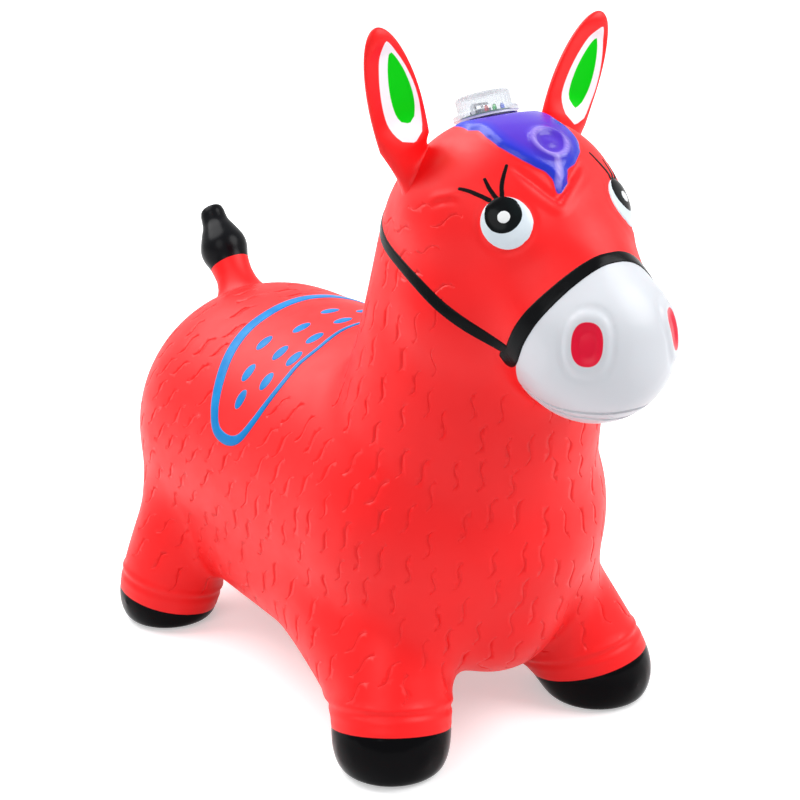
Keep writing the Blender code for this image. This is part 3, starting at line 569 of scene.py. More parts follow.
# %% Mouth lines
MOUTH_LINES = (((0.2020, 0.0425, 0.3020), (0.2282, 0.0428, 0.2968), (0.2523, 0.0330, 0.2945),
                (0.2650, 0.0175, 0.2938), (0.2695, 0.0, 0.2935)),
               ((0.2000, 0.0385, 0.2960), (0.2286, 0.0386, 0.2920), (0.2506, 0.0269, 0.2890),
                (0.2590, 0.0100, 0.2868), (0.2605, 0.0, 0.2865)))
MOUTH_STEP, MOUTH_RADIUS = 0.004, 0.00160


def through(points, step=0.002):
    """Evenly spaced points on a smooth line through the given ones."""
    points = [Vector(point) for point in points]
    ends = [points[0] * 2 - points[1], *points, points[-1] * 2 - points[-2]]
    line = []
    for a, b, c, d in zip(ends, ends[1:], ends[2:], ends[3:]):
        count = max(int((c - b).length / step), 1)
        for index in range(count):
            t = index / count
            line.append(0.5 * (2 * b + (c - a) * t + (2 * a - 5 * b + 4 * c - d) * t * t
                               + (3 * b - a - 3 * c + d) * t ** 3))
    return line + [points[-1]]


def mirrored_line(points):
    """A line on the left side, carried across the middle to the right side."""
    return [mirrored(point, 1.0) for point in points] + [mirrored(point, -1.0) for point in points[-2::-1]]


def groove(line, radius):
    """Points and radii of a groove on the skin, thinner towards its ends."""
    last = len(line) - 1
    made = []
    for index, place in enumerate(line):
        share = 2 * index / last - 1.0
        made.append((on_skin(place), radius * (0.3 + 0.7 * math.sqrt(max(1.0 - share ** 4, 0.0)))))
    return made


creases = [groove(through(mirrored_line(line), MOUTH_STEP), MOUTH_RADIUS) for line in MOUTH_LINES]
print("creases:", len(creases))

# %% [markdown]
# ## Cut the marks, the module's pocket and the plug's hole
# A curve object makes all the wavy tubes at once, each with a radius that fades to its ends. The pocket
# and the plug hole are stepped drums, spun from a profile. The manifold solver cuts hundreds of tubes in
# a moment.

# %% Cutters and cuts
PLUG_SEAT = Vector((-0.060, 0.0, 0.038))
POCKET_PROFILE = ((0, -0.0129), (0.0179, -0.0129), (0.0179, 0), (0.0224, 0), (0.0224, 0.022), (0, 0.022))
HOLE_PROFILE = ((0, -0.007), (0.0084, -0.007), (0.0084, 0), (0.0054, 0), (0.0054, 0.0145), (0, 0.0145))


def on_module():
    """A placing matrix whose Z runs along the module's axis."""
    y_axis = MODULE_AXIS.cross(Vector((1, 0, 0))).normalized()
    turn = Matrix((y_axis.cross(MODULE_AXIS), y_axis, MODULE_AXIS)).transposed().to_4x4()
    return Matrix.Translation(MODULE_SEAT) @ turn


def spun(profile, steps=64):
    """A closed body spun round Z from (radius, height) pairs."""
    bm = bmesh.new()
    verts = [bm.verts.new((radius, 0, height)) for radius, height in profile]
    edges = [bm.edges.new(pair) for pair in zip(verts, verts[1:])]
    bmesh.ops.spin(bm, geom=verts + edges, cent=(0, 0, 0), axis=UP, angle=2 * math.pi, steps=steps,
                   use_merge=True)
    bmesh.ops.remove_doubles(bm, verts=bm.verts, dist=1e-6)
    bmesh.ops.recalc_face_normals(bm, faces=bm.faces)
    return bm


def tubes(name, lines, sides=1):
    """One mesh of closed tubes along lines of (place, radius) pairs."""
    curve = bpy.data.curves.new(name, "CURVE")
    curve.dimensions = "3D"
    curve.bevel_depth = 1.0
    curve.bevel_resolution = sides
    curve.use_fill_caps = True
    for line in lines:
        spline = curve.splines.new("POLY")
        spline.points.add(len(line) - 1)
        for point, (place, radius) in zip(spline.points, line):
            point.co = (*place, 1.0)
            point.radius = radius
    holder = bpy.data.objects.new(name, curve)
    bpy.context.scene.collection.objects.link(holder)
    bm = bmesh.new()
    bm.from_mesh(worked_out(holder))
    bpy.data.objects.remove(holder)
    bmesh.ops.remove_doubles(bm, verts=bm.verts, dist=1e-7)
    bmesh.ops.recalc_face_normals(bm, faces=bm.faces)
    return bm


def cut(obj, bm):
    """Cut a bmesh out of the object. Its faces get the second material slot, which marks them as cut."""
    for face in bm.faces:
        face.material_index = 1
    tool = new_object("cutting_tool", bm)
    for owner in (tool, obj):
        while len(owner.data.materials) < 2:
            owner.data.materials.append(None)
    knife = obj.modifiers.new("cut", "BOOLEAN")
    knife.operation = "DIFFERENCE"
    knife.solver = "MANIFOLD"
    knife.object = tool
    mesh = worked_out(obj)
    obj.modifiers.clear()
    obj.data = mesh
    bpy.data.objects.remove(tool)


print("the pocket's mouth is", round(POCKET_PROFILE[3][0] * 2000, 1), "mm wide")

# %% Cut the skin
coat = new_object("coat", soft)
before = len(coat.data.polygons)
pocket = spun(POCKET_PROFILE)
pocket.transform(on_module())
cut(coat, pocket)
hole = spun(HOLE_PROFILE, 40)
hole.transform(Matrix.Translation(PLUG_SEAT))
cut(coat, hole)
cut(coat, tubes("hair_marks", marks))
cut(coat, tubes("creases", creases, 2))
print("coat:", before, "faces before the cuts and", len(coat.data.polygons), "after")

# %% [markdown]
# ## Part the legs from the coat
# The real skin is one piece, but a leg folds towards its hoof while the trunk stays, so each leg is made a
# piece of its own. The coat is cut square to the leg, and both sides of the cut keep the normals that the
# skin had in one piece, so that no line shows.

# %% Cut the legs off
LEG_CUT = {"front": 0.0385, "rear": 0.0260}
LEG_REACH, CUT_REACH = 0.066, 0.01


def up_leg(leg, place):
    """How far a place lies up the leg's own axis."""
    return (place - leg["foot"]).dot(leg["up"])


def smooth_shaded(obj, degrees=38):
    """Smooth shading, with edges kept sharp above an angle."""
    obj.data.polygons.foreach_set("use_smooth", [True] * len(obj.data.polygons))
    obj.data.set_sharp_from_angle(angle=math.radians(degrees))
    return obj


def piece_of(bm, faces, name):
    """A new object from some faces of a bmesh. Its open edge keeps the normals of the whole skin."""
    part = bm.copy()
    kept = {face.index for face in faces}
    bmesh.ops.delete(part, geom=[face for face in part.faces if face.index not in kept], context="FACES")
    part.verts.index_update()
    for edge in part.edges:
        edge.smooth = len({face.material_index for face in edge.link_faces}) == 1
    for face in part.faces:
        face.smooth = True
        face.material_index = 0
    normal_layer = part.verts.layers.float_vector["whole_normal"]
    rows = [tuple(vert[normal_layer]) if vert.is_boundary else (0.0, 0.0, 0.0) for vert in part.verts]
    part.verts.layers.float_vector.remove(normal_layer)
    obj = new_object(name, part)
    obj.data.normals_split_custom_set_from_vertices(rows)
    return obj


print("metres from the hoof's centre up to the cut:", LEG_CUT)

# %% Cut and gather the faces of each leg
whole = bmesh.new()
whole.from_mesh(coat.data)
bpy.data.objects.remove(coat)
cut_rings = {}
for name, leg in LEGS.items():
    height = LEG_CUT[name.split("_")[0]]
    close = [face for face in whole.faces
             if abs(up_leg(leg, face.calc_center_median()) - height) < CUT_REACH
             and from_leg_axis(leg, face.calc_center_median()) < LEG_REACH]
    close_edges = {edge for face in close for edge in face.edges}
    close_verts = {vert for face in close for vert in face.verts}
    ring = bmesh.ops.bisect_plane(whole, geom=close + list(close_edges | close_verts), dist=1e-6,
                                  plane_co=leg["foot"] + leg["up"] * height, plane_no=leg["up"])["geom_cut"]
    cut_rings[name] = {item for item in ring if isinstance(item, bmesh.types.BMEdge)}
whole.normal_update()
whole.faces.index_update()
normal_layer = whole.verts.layers.float_vector.new("whole_normal")
for vert in whole.verts:
    vert[normal_layer] = vert.normal
parted = set()
leg_pieces = {}
for name, leg in LEGS.items():
    sole = leg["foot"] - Vector((0, 0, FOOT_Z))
    start = min(whole.faces, key=lambda face: (face.calc_center_median() - sole).length_squared)
    found, waiting = {start}, [start]
    while waiting:
        for edge in waiting.pop().edges:
            if edge not in cut_rings[name]:
                fresh = [other for other in edge.link_faces if other not in found]
                found.update(fresh)
                waiting.extend(fresh)
    parted |= found
    leg_pieces[name] = piece_of(whole, found, name + "_leg_skin")
    print(name, "leg has", len(found), "faces")
body_skin = piece_of(whole, [face for face in whole.faces if face not in parted], "body_skin")
whole.free()
print("body skin has", len(body_skin.data.polygons), "faces")

# %% [markdown]
# ## Paint as numbers on the skin
# The muzzle, the forelock, the nostrils and the hooves are sprayed or dipped through a mask. Each mask is
# stored on the points as a distance: positive inside the paint, negative outside. A distance blends
# evenly across a face, so the shader can cut it at zero and get a crisp edge that bends with the skin.
# The place of each point at rest is stored too, so that grain doesn't slide when the skin bends, and so
# is how deep the point lies in a groove, which the shader turns into painted shade.

# %% Store the masks
HALTER_SLOPE, HALTER_START, MUZZLE_BACK = 0.49, 0.0539, 0.2035
NOSTRIL_BACK, NOSTRIL_SCALE = 0.235, 0.012
RING_OPENING, RING_OPEN_REACH, RING_OPEN_DEPTH = 0.9, 1.2, 0.002
# The open ring on the curl and the streak to the tip are a painted highlight.
HIGHLIGHT_STREAK, STREAK_SHARE = ((0.029, -0.001), (0.036, -0.003), (0.047, -0.0085)), 0.9


def store(obj, name, values):
    """One number for each point."""
    obj.data.attributes.new(name, "FLOAT", "POINT").data.foreach_set("value", values)


def store_rest(obj):
    """The place of each point before anything bends."""
    rows = [value for vert in obj.data.vertices for value in vert.co]
    obj.data.attributes.new("rest", "FLOAT_VECTOR", "POINT").data.foreach_set("vector", rows)


def groove_depth(place):
    """How far a place lies under the smooth skin."""
    hit, normal, _, _ = skin_tree.find_nearest(place)
    return max((hit - place).dot(normal), 0.0)


def muzzle_depth(place):
    """How far a place lies in front of the halter's noseband."""
    before_band = (place.x - HALTER_SLOPE * place.z - HALTER_START) / math.hypot(1.0, HALTER_SLOPE)
    return min(before_band, place.x - MUZZLE_BACK)


def nostril_depth(place):
    """How far a place lies inside the nearer nostril."""
    if place.x < NOSTRIL_BACK:
        return OFF_PAINT
    return max((1.0 - nostril_share(place, side)) * NOSTRIL_SCALE for side in SIDES.values())


def painted_highlight_distance(place):
    """How far a place lies from the painted highlight on the forelock: an open ring and a streak to the tip.
    """
    u, v = lock_spot(place)
    ring = abs(math.dist((u, v), CURL) - CURL_RADIUS)
    opening = bump(math.atan2(v - CURL[1], CURL[0] - u) - RING_OPENING, RING_OPEN_REACH)
    streak = abs(beside_line((u, v), HIGHLIGHT_STREAK)[0])
    return min(ring + RING_OPEN_DEPTH * opening, streak * STREAK_SHARE)


for obj in (body_skin, *leg_pieces.values()):
    store_rest(obj)
    store(obj, "groove", [groove_depth(vert.co) for vert in obj.data.vertices])
for name, obj in leg_pieces.items():
    store(obj, "hoof", [LEGS[name]["paint"] - along_leg(LEGS[name], vert.co) for vert in obj.data.vertices])
places = [vert.co.copy() for vert in body_skin.data.vertices]
# The last mask is a painted highlight on the forelock.
for mask, depth_of in (("muzzle", muzzle_depth), ("nostril", nostril_depth), ("forelock", lock_depth),
                       ("painted_highlight", painted_highlight_distance)):
    store(body_skin, mask, [depth_of(place) for place in places])
print("masks stored on", len(places), "points of the body")

# %% [markdown]
# ## Finishes
# A few short helpers keep the materials readable: one adds a node and links or sets its inputs, one reads
# a mask, one mixes two colours. Colours are written as they look on a screen and turned into linear light
# once.

# %% Material helpers


def linear(red, green, blue):
    """A screen colour from 0 to 255 as linear light."""
    def one(value):
        value /= 255.0
        return value / 12.92 if value <= 0.04045 else ((value + 0.055) / 1.055) ** 2.4
    return (one(red), one(green), one(blue), 1.0)


def new_material(name):
    material = bpy.data.materials.new(name)
    material.use_nodes = True
    material.node_tree.nodes.clear()
    return material


def add(material, kind, inputs, **settings):
    """Add a node. An input takes a plain value or another node's output."""
    tree = material.node_tree
    made = tree.nodes.new("ShaderNode" + kind)
    for name, value in settings.items():
        setattr(made, name, value)
    for name, value in inputs.items():
        if isinstance(value, bpy.types.NodeSocket):
            tree.links.new(value, made.inputs[name])
        else:
            made.inputs[name].default_value = value
    return made


def read(material, name):
    """A stored number of the surface."""
    return add(material, "Attribute", {}, attribute_name=name).outputs["Fac"]


def rest_place(material):
    return add(material, "Attribute", {}, attribute_name="rest").outputs["Vector"]


def object_place(material):
    return add(material, "TexCoord", {}).outputs["Object"]


def ranged(material, value, low, high, to_low=0.0, to_high=1.0):
    """A value carried from one range to another."""
    return add(material, "MapRange", {"Value": value, "From Min": low, "From Max": high,
                                      "To Min": to_low, "To Max": to_high}).outputs["Result"]


def mix(material, share, first, second):
    """Two colours mixed by a share."""
    return add(material, "Mix", {0: share, 6: first, 7: second}, data_type="RGBA").outputs[2]


def mix_number(material, share, first, second):
    """Two numbers mixed by a share."""
    return add(material, "Mix", {0: share, 2: first, 3: second}, data_type="FLOAT").outputs[0]


def maths(material, operation, first, second):
    return add(material, "Math", {0: first, 1: second}, operation=operation).outputs[0]


def noise(material, place, scale, detail=2.0):
    return add(material, "TexNoise", {"Vector": place, "Scale": scale, "Detail": detail}).outputs["Fac"]


def clouds(material, place, scale, detail, to_low=0.0, to_high=1.0, spread=0.2):
    """Noise round its middle of 0.5, carried to a range."""
    value = noise(material, place, scale, detail)
    return ranged(material, value, 0.5 - spread, 0.5 + spread, to_low, to_high)


def bumped(material, height, strength, distance):
    inputs = {"Height": height, "Strength": strength, "Distance": distance}
    return add(material, "Bump", inputs).outputs["Normal"]


def surface(material, inputs):
    """The shader at the end, linked to the output."""
    shader = add(material, "BsdfPrincipled", inputs)
    add(material, "OutputMaterial", {"Surface": shader.outputs["BSDF"]})
    return material


print("a screen grey of 128 is", round(linear(128, 128, 128)[0], 3), "in linear light")

# %% [markdown]
# ## Soft red plastic
# Blown PVC is satin: a broad soft shine, a faint cloudiness where the wall is thicker or thinner, and a
# very fine skin texture from the mould. Light enters a little way and comes out warmer, so a small share
# of subsurface light keeps the shadows from going brown. The grooves are painted a deeper red as painted
# shade.

# %% Skin, hooves and face paint
SKIN_REDS = (linear(240, 10, 14), linear(246, 18, 20))
# A deeper red, painted into the grooves as shade.
PAINTED_GROOVE_SHADE_RED = linear(196, 6, 14)
WHITE = linear(207, 210, 216)
BRIGHT_WHITE = linear(246, 243, 248)
BLACK = linear(3, 3, 5)
CRIMSON = linear(222, 6, 50)
PURPLE = linear(74, 38, 184)
BLUE = linear(16, 44, 196)
GREEN = linear(0, 205, 12)
# Lilac for the painted highlight on the forelock.
PAINTED_HIGHLIGHT_LILAC = linear(196, 176, 240)
SKIN_ROUGHNESS, SKIN_SHINE = (0.42, 0.50), 0.32
GROOVE_DEPTHS, GROOVE_SHADE = (0.0001, 0.0006), 0.35
PAINT_EDGE = 0.00025
LIGHT_INSIDE = {"Subsurface Weight": 0.06, "Subsurface Radius": (0.010, 0.003, 0.003),
                "Subsurface Scale": 0.6}


def plastic_skin(name, *masks):
    """The red skin with paint over it. A mask gives an attribute, a paint, its roughness and its shine."""
    material = new_material(name)
    place = rest_place(material)
    colour = mix(material, clouds(material, place, 11.0, 3.0, spread=0.15), *SKIN_REDS)
    # Painted shade: the red turns deeper where a point lies down in a groove.
    shade = ranged(material, read(material, "groove"), *GROOVE_DEPTHS, 0.0, GROOVE_SHADE)
    colour = mix(material, shade, colour, PAINTED_GROOVE_SHADE_RED)
    roughness = clouds(material, place, 60.0, 3.0, *SKIN_ROUGHNESS)
    shine = SKIN_SHINE
    for attribute, paint, paint_roughness, paint_shine in masks:
        share = ranged(material, read(material, attribute), -PAINT_EDGE, PAINT_EDGE)
        colour = mix(material, share, colour, paint(material) if callable(paint) else paint)
        roughness = mix_number(material, share, roughness, paint_roughness)
        shine = mix_number(material, share, shine, paint_shine)
    grain = bumped(material, noise(material, place, 1400.0), 0.10, 0.0002)
    return surface(material, {"Base Color": colour, "Roughness": roughness, "Normal": grain, "IOR": 1.5,
                              "Specular IOR Level": shine, **LIGHT_INSIDE})


def forelock_paint(material):
    """Purple, bluer towards the edge, with a lilac painted highlight on the curl and along the tip."""
    colour = mix(material, ranged(material, read(material, "forelock"), 0.002, 0.011), BLUE, PURPLE)
    # Painted highlight: lilac mixed over the purple along the curl's ring and a streak to the tip.
    return mix(material, ranged(material, read(material, "painted_highlight"), 0.0, 0.0030, 0.55, 0.0), colour, PAINTED_HIGHLIGHT_LILAC)


body_material = plastic_skin("red skin with face paint", ("muzzle", WHITE, 0.30, 0.32),
                             ("nostril", CRIMSON, 0.32, 0.20), ("forelock", forelock_paint, 0.25, 0.32))
hoof_material = plastic_skin("red skin with black hoof", ("hoof", BLACK, 0.15, 0.05))
body_skin.data.materials.append(body_material)
for obj in leg_pieces.values():
    obj.data.materials.append(hoof_material)
print("materials:", [material.name for material in bpy.data.materials if material.users][-2:])

# %% [markdown]
# ## Painted strips
# The halter, the lashes and the saddle's border are brushed on. Each is a ribbon: a flat grid whose long
# side follows a line on the skin. Every point of the grid drops onto the skin and is lifted by a hair,
# and its edges are tucked under the surface, so the ribbon looks like a thick coat of paint.

# %% Ribbons laid on the skin
TUCK = -0.00025
LIFTS = ((-1.0, TUCK), (-0.94, 0.00022), (-0.80, 0.00036), (-0.4, 0.00042), (0.0, 0.00044),
         (0.4, 0.00042), (0.80, 0.00036), (0.94, 0.00022), (1.0, TUCK))
LEAST_END = 0.0004


def ribbon(bm, line, widths, lift=1.0, round_ends=True):
    """A ribbon along a line. Widths are half widths, spread evenly along it."""
    last = len(line) - 1
    made = bmesh.ops.create_grid(bm, x_segments=last, y_segments=len(LIFTS) - 1, size=0.5)["verts"]
    run = [0.0]
    for a, b in zip(line, line[1:]):
        run.append(run[-1] + (b - a).length)
    for vert in made:
        step = round((vert.co.x + 0.5) * last)
        side, rise = LIFTS[round((vert.co.y + 0.5) * (len(LIFTS) - 1))]
        share = run[step] / run[-1] * (len(widths) - 1)
        low = min(int(share), len(widths) - 2)
        width = widths[low] + (widths[low + 1] - widths[low]) * (share - low)
        if round_ends:
            close = min(run[step], run[-1] - run[step]) / width
            if close < 1.0:
                width *= math.sqrt(max(1.0 - (1.0 - close) ** 2, LEAST_END))
            if step in (0, last):
                rise = TUCK
        before, after = line[max(step - 1, 0)], line[min(step + 1, last)]
        hit, normal, _, _ = skin_tree.find_nearest(line[step])
        across = normal.cross(after - before).normalized()
        vert.co = on_skin(hit + across * side * width, rise * lift)


def laid_piece(name, bm, material):
    """An object from a laid bmesh, with every face turned away from the skin."""
    for face in bm.faces:
        face.normal_update()
        if face.normal.dot(skin_tree.find_nearest(face.calc_center_median())[1]) < 0:
            face.normal_flip()
    obj = smooth_shaded(new_object(name, bm), 60)
    obj.data.materials.append(material)
    return obj


def paint_coat(name, colour, second, roughness=0.30, shine=0.3):
    """Brushed paint: a slight change of shade along the brush and a faint unevenness."""
    material = new_material(name)
    place = object_place(material)
    shade = mix(material, clouds(material, place, 55.0, 3.0, spread=0.15), colour, second)
    rough = clouds(material, place, 130.0, 2.0, roughness - 0.05, roughness + 0.06)
    wave = bumped(material, noise(material, place, 420.0), 0.12, 0.0003)
    return surface(material, {"Base Color": shade, "Roughness": rough, "Normal": wave,
                              "Specular IOR Level": shine})


print("a ribbon has", len(LIFTS), "rows of points")

# %% Halter and lashes
NOSEBAND = ((0.1960, 0.0546, 0.3190), (0.2068, 0.0556, 0.3250), (0.2174, 0.0567, 0.3430),
            (0.2295, 0.0503, 0.3635), (0.2377, 0.0343, 0.3803), (0.2413, 0.0120, 0.3899),
            (0.2418, 0.0, 0.3912))
NOSEBAND_WIDTHS = (0.0070, 0.0064, 0.0050, 0.0043, 0.0050, 0.0064, 0.0070)
CHEEK_STRAP = ((0.2068, 0.0562, 0.3270), (0.1927, 0.0597, 0.3331), (0.1798, 0.0696, 0.3415),
               (0.1635, 0.0796, 0.3526), (0.1402, 0.0832, 0.3653), (0.1124, 0.0791, 0.3747),
               (0.0843, 0.0707, 0.3835), (0.0600, 0.0480, 0.3925), (0.0450, 0.0, 0.3970))
STRAP_WIDTHS = (0.0043, 0.0041, 0.0041, 0.0043)
LASHES = (((0.1828, 0.0538, 0.4252), (0.1746, 0.0593, 0.4292),
           (0.1675, 0.0621, 0.4309), (0.1608, 0.0653, 0.4314)),
          ((0.1852, 0.0506, 0.4258), (0.1785, 0.0523, 0.4323), (0.1716, 0.0520, 0.4391)),
          ((0.1868, 0.0485, 0.4262), (0.1821, 0.0452, 0.4360), (0.1761, 0.0363, 0.4472)))
LASH_WIDTHS = (0.0016, 0.0015, 0.0011)
strips = bmesh.new()
ribbon(strips, through(mirrored_line(NOSEBAND), 0.0015), NOSEBAND_WIDTHS, 1.6)
ribbon(strips, through(mirrored_line(CHEEK_STRAP), 0.0018), STRAP_WIDTHS, 1.3)
halter = laid_piece("halter", strips, paint_coat("halter black", BLACK, linear(8, 10, 12), 0.24, 0.07))
strips = bmesh.new()
for side in SIDES.values():
    for line in LASHES:
        spots = [mirrored(Vector(spot) + EYE_SHIFTS[side], side) for spot in line]
        ribbon(strips, through(spots, 0.0008), LASH_WIDTHS, 0.8)
lashes = laid_piece("eyelashes", strips, paint_coat("lash black", BLACK, linear(16, 6, 8), 0.35, 0.07))
print("halter:", len(halter.data.polygons), "faces, lashes:", len(lashes.data.polygons))

# %% [markdown]
# ## Painted discs
# Eyes and saddle spots are round: a disc of rings drops onto the skin in the same way. Rings let the
# paint swell in the middle and tuck under at the rim.

# %% Eyes
RINGS = ((0.0, 1.0), (0.25, 0.98), (0.5, 0.9), (0.72, 0.75), (0.88, 0.5), (0.97, 0.22), (1.0, -0.3))


def disc(bm, centre, out, along, half, dome, around=48, base=0.0):
    """A laid disc: half gives its two half widths, the first one towards along."""
    out, along = Vector(out).normalized(), Vector(along)
    first = (along - out * out.dot(along)).normalized()
    second = out.cross(first)
    made = bmesh.ops.create_grid(bm, x_segments=around, y_segments=len(RINGS) - 1, size=0.5)["verts"]
    for vert in made:
        turn = 2 * math.pi * (vert.co.x + 0.5)
        reach, rise = RINGS[round((vert.co.y + 0.5) * (len(RINGS) - 1))]
        spot = centre + first * half[0] * reach * math.cos(turn) + second * half[1] * reach * math.sin(turn)
        vert.co = on_skin(spot, base + dome * rise if rise > 0 else TUCK)
    bmesh.ops.remove_doubles(bm, verts=made, dist=1e-6)


EYE_OUT = Vector((0.70, 0.54, 0.47)).normalized()
IRIS, IRIS_RADIUS = Vector((0.1907, 0.0506, 0.4165)), 0.0119
PUPIL, PUPIL_RADIUS = Vector((0.1918, 0.0509, 0.4151)), 0.0039
EYE_LAYERS = (("eye_white", EYE, EYE_RADIUS, 0.0003, 0.0005,
               paint_coat("eye white", linear(218, 229, 236), linear(208, 219, 228), 0.2)),
              ("eye_iris", IRIS, IRIS_RADIUS, 0.0007, 0.0005,
               paint_coat("eye black", BLACK, linear(10, 18, 20), 0.16, 0.08)),
              ("eye_pupil", PUPIL, PUPIL_RADIUS, 0.0011, 0.0004,
               paint_coat("eye glint", linear(228, 230, 230), linear(222, 226, 230), 0.2)))
eye_pieces = []
for label, centre, radius, base, dome, material in EYE_LAYERS:
    bm = bmesh.new()
    for side in SIDES.values():
        spot = mirrored(centre + EYE_SHIFTS[side], side)
        disc(bm, spot, mirrored(EYE_OUT, side), UP, (radius, radius), dome, base=base)
    eye_pieces.append(laid_piece(label, bm, material))
print("eye layers:", [obj.name for obj in eye_pieces])

# %% [markdown]
# ## Saddle
# A blue line goes round the painted saddle, wide behind and thin in front, and loose rows of oval spots
# fill it. The spots of the right side are mirrored to the left, and those along the middle are uneven.

# %% Saddle border and spots
SADDLE_SPOTS = ((-0.0662, 0.0980, 0.2273), (-0.0763, 0.0848, 0.2440), (-0.0878, 0.0623, 0.2606),
                (-0.0725, 0.0374, 0.2721), (-0.0498, 0.0851, 0.2439), (-0.0615, 0.0644, 0.2595),
                (-0.0470, 0.0422, 0.2712), (-0.0418, 0.0644, 0.2597))
MIDDLE_SPOTS = ((-0.0814, -0.0046, 0.2782), (-0.0541, -0.0110, 0.2777), (-0.0673, 0.0195, 0.2765))
SPOT_HALF, SPOT_DOME = (0.0086, 0.0051), 0.0006
HALF_WIDTHS = (0.0056, 0.0058, 0.0056, 0.0044, 0.0030, 0.0022, 0.0020)
saddle_paint = paint_coat("saddle blue", linear(0, 113, 181), linear(8, 128, 194), 0.33, 0.14)
blue = bmesh.new()
ribbon(blue, through(mirrored_line(SADDLE_EDGE), 0.0018), HALF_WIDTHS + HALF_WIDTHS[-2::-1], 1.5, False)
spots = [mirrored(spot, side) for spot in SADDLE_SPOTS for side in SIDES.values()]
spots += [Vector(spot) for spot in MIDDLE_SPOTS]
for spot in spots:
    hit, normal, _, _ = skin_tree.find_nearest(spot)
    disc(blue, hit, normal, Vector((1, 0, 0)).cross(normal), SPOT_HALF, SPOT_DOME, 28)
saddle = laid_piece("saddle_paint", blue, saddle_paint)
print("saddle:", len(spots), "spots")

# %% [markdown]
# ## Ears
# Each ear grows out of the skull: a flared foot, a body that is widest below its middle and a blunt tip.
# Its front is dished and painted white with a green heart. A grid wraps into a tube, so the rows run up
# the ear and the columns run round it; the lowest rows curve out to meet the skull. As in the photograph,
# the right ear is a little longer and the paint lies off the middle.

# %% Ears
EAR_LENGTH, EAR_HALF, EAR_ROOT_HALF, EAR_FLAT, EAR_WIDEST = 0.098, 0.0215, 0.0180, 0.43, 0.42
EAR_HINGE, EAR_BASE_TO_HINGE = Vector((0.1081, 0.0684, 0.4477)), 0.014
EAR_UP, EAR_ACROSS = Vector((0.0705, 0.2820, 0.9568)), Vector((0.0, 0.9592, -0.2827))
EAR_DISH, DISH_FOOT, DISH_TIP, DISH_POWER = 0.0095, (0.016, 0.040), (0.002, 0.020), 1.5
EAR_SPLAY, EAR_RISES, SWELL_FLAT = 0.0050, {"left": 0.0030, "right": 0.0085}, 0.4
EAR_FOOT = (0.26, 0.021, 0.9, (-0.004, 0.010, -0.0006), (0.002, 0.001, 0.0012))
EAR_PAINTS = {"leaf": (0.0202, 0.0885, 0.0146), "heart": (0.0310, 0.0800, 0.0088)}
EAR_PAINT_SHIFTS = {"left": {"leaf": 0.0047, "heart": 0.0049}, "right": {"leaf": 0.0034, "heart": 0.0060}}
EAR_FRONT, OFF_EAR = 0.05, -0.004
ALMOND_WIDTH, ALMOND_FOOT, ALMOND_TIP = 2.10, 0.4, 0.75


def tube(around, along, place_of):
    """A grid wrapped into a tube: place_of takes the turn and the row from 0 to 1."""
    bm = bmesh.new()
    bmesh.ops.create_grid(bm, x_segments=around, y_segments=along, size=0.5)
    for vert in bm.verts:
        vert.co = place_of(2 * math.pi * (vert.co.x + 0.5), vert.co.y + 0.5)
    bmesh.ops.remove_doubles(bm, verts=bm.verts, dist=2e-6)
    bmesh.ops.recalc_face_normals(bm, faces=bm.faces)
    return bm


def grown(spot_of, length, foot_share, foot_height, crowding, low, bend):
    """A place for each turn and row of a tube on the skin. Its first rows curve out of the skin from low past
    bend to the foot's height. Low and bend each give a height, a swell and a lift over the skin."""
    def place_of(turn, row):
        if row >= foot_share:
            share = (row - foot_share) / (1.0 - foot_share)
            climb = math.sin(share * math.pi / 2) ** crowding
            return spot_of(turn, foot_height + (length - foot_height) * climb)
        share = row / foot_share
        start, middle = (on_skin(spot_of(turn, height, swell), lift) for height, swell, lift in (low, bend))
        return start.lerp(middle, share).lerp(middle.lerp(spot_of(turn, foot_height), share), share)
    return place_of


def ear_half(share):
    """Half the ear's width at a share of its length."""
    if share < EAR_WIDEST:
        swell = math.sin(max(share, 0.0) / EAR_WIDEST * math.pi / 2)
        return EAR_ROOT_HALF + (EAR_HALF - EAR_ROOT_HALF) * swell
    return EAR_HALF * math.sqrt(max(1.0 - ((share - EAR_WIDEST) / (1.0 - EAR_WIDEST)) ** 2, 0.0))


def almond(height, across, low, high, half):
    """How far a spot lies inside a leaf shape, blunt below and pointed above."""
    share = (height - low) / (high - low)
    if not 0.0 < share < 1.0:
        return min(height - low, high - height) - abs(across)
    return half * ALMOND_WIDTH * share ** ALMOND_FOOT * (1.0 - share) ** ALMOND_TIP - abs(across)


print("an ear is", round(ear_half(EAR_WIDEST) * 2000, 1), "mm wide at its widest")

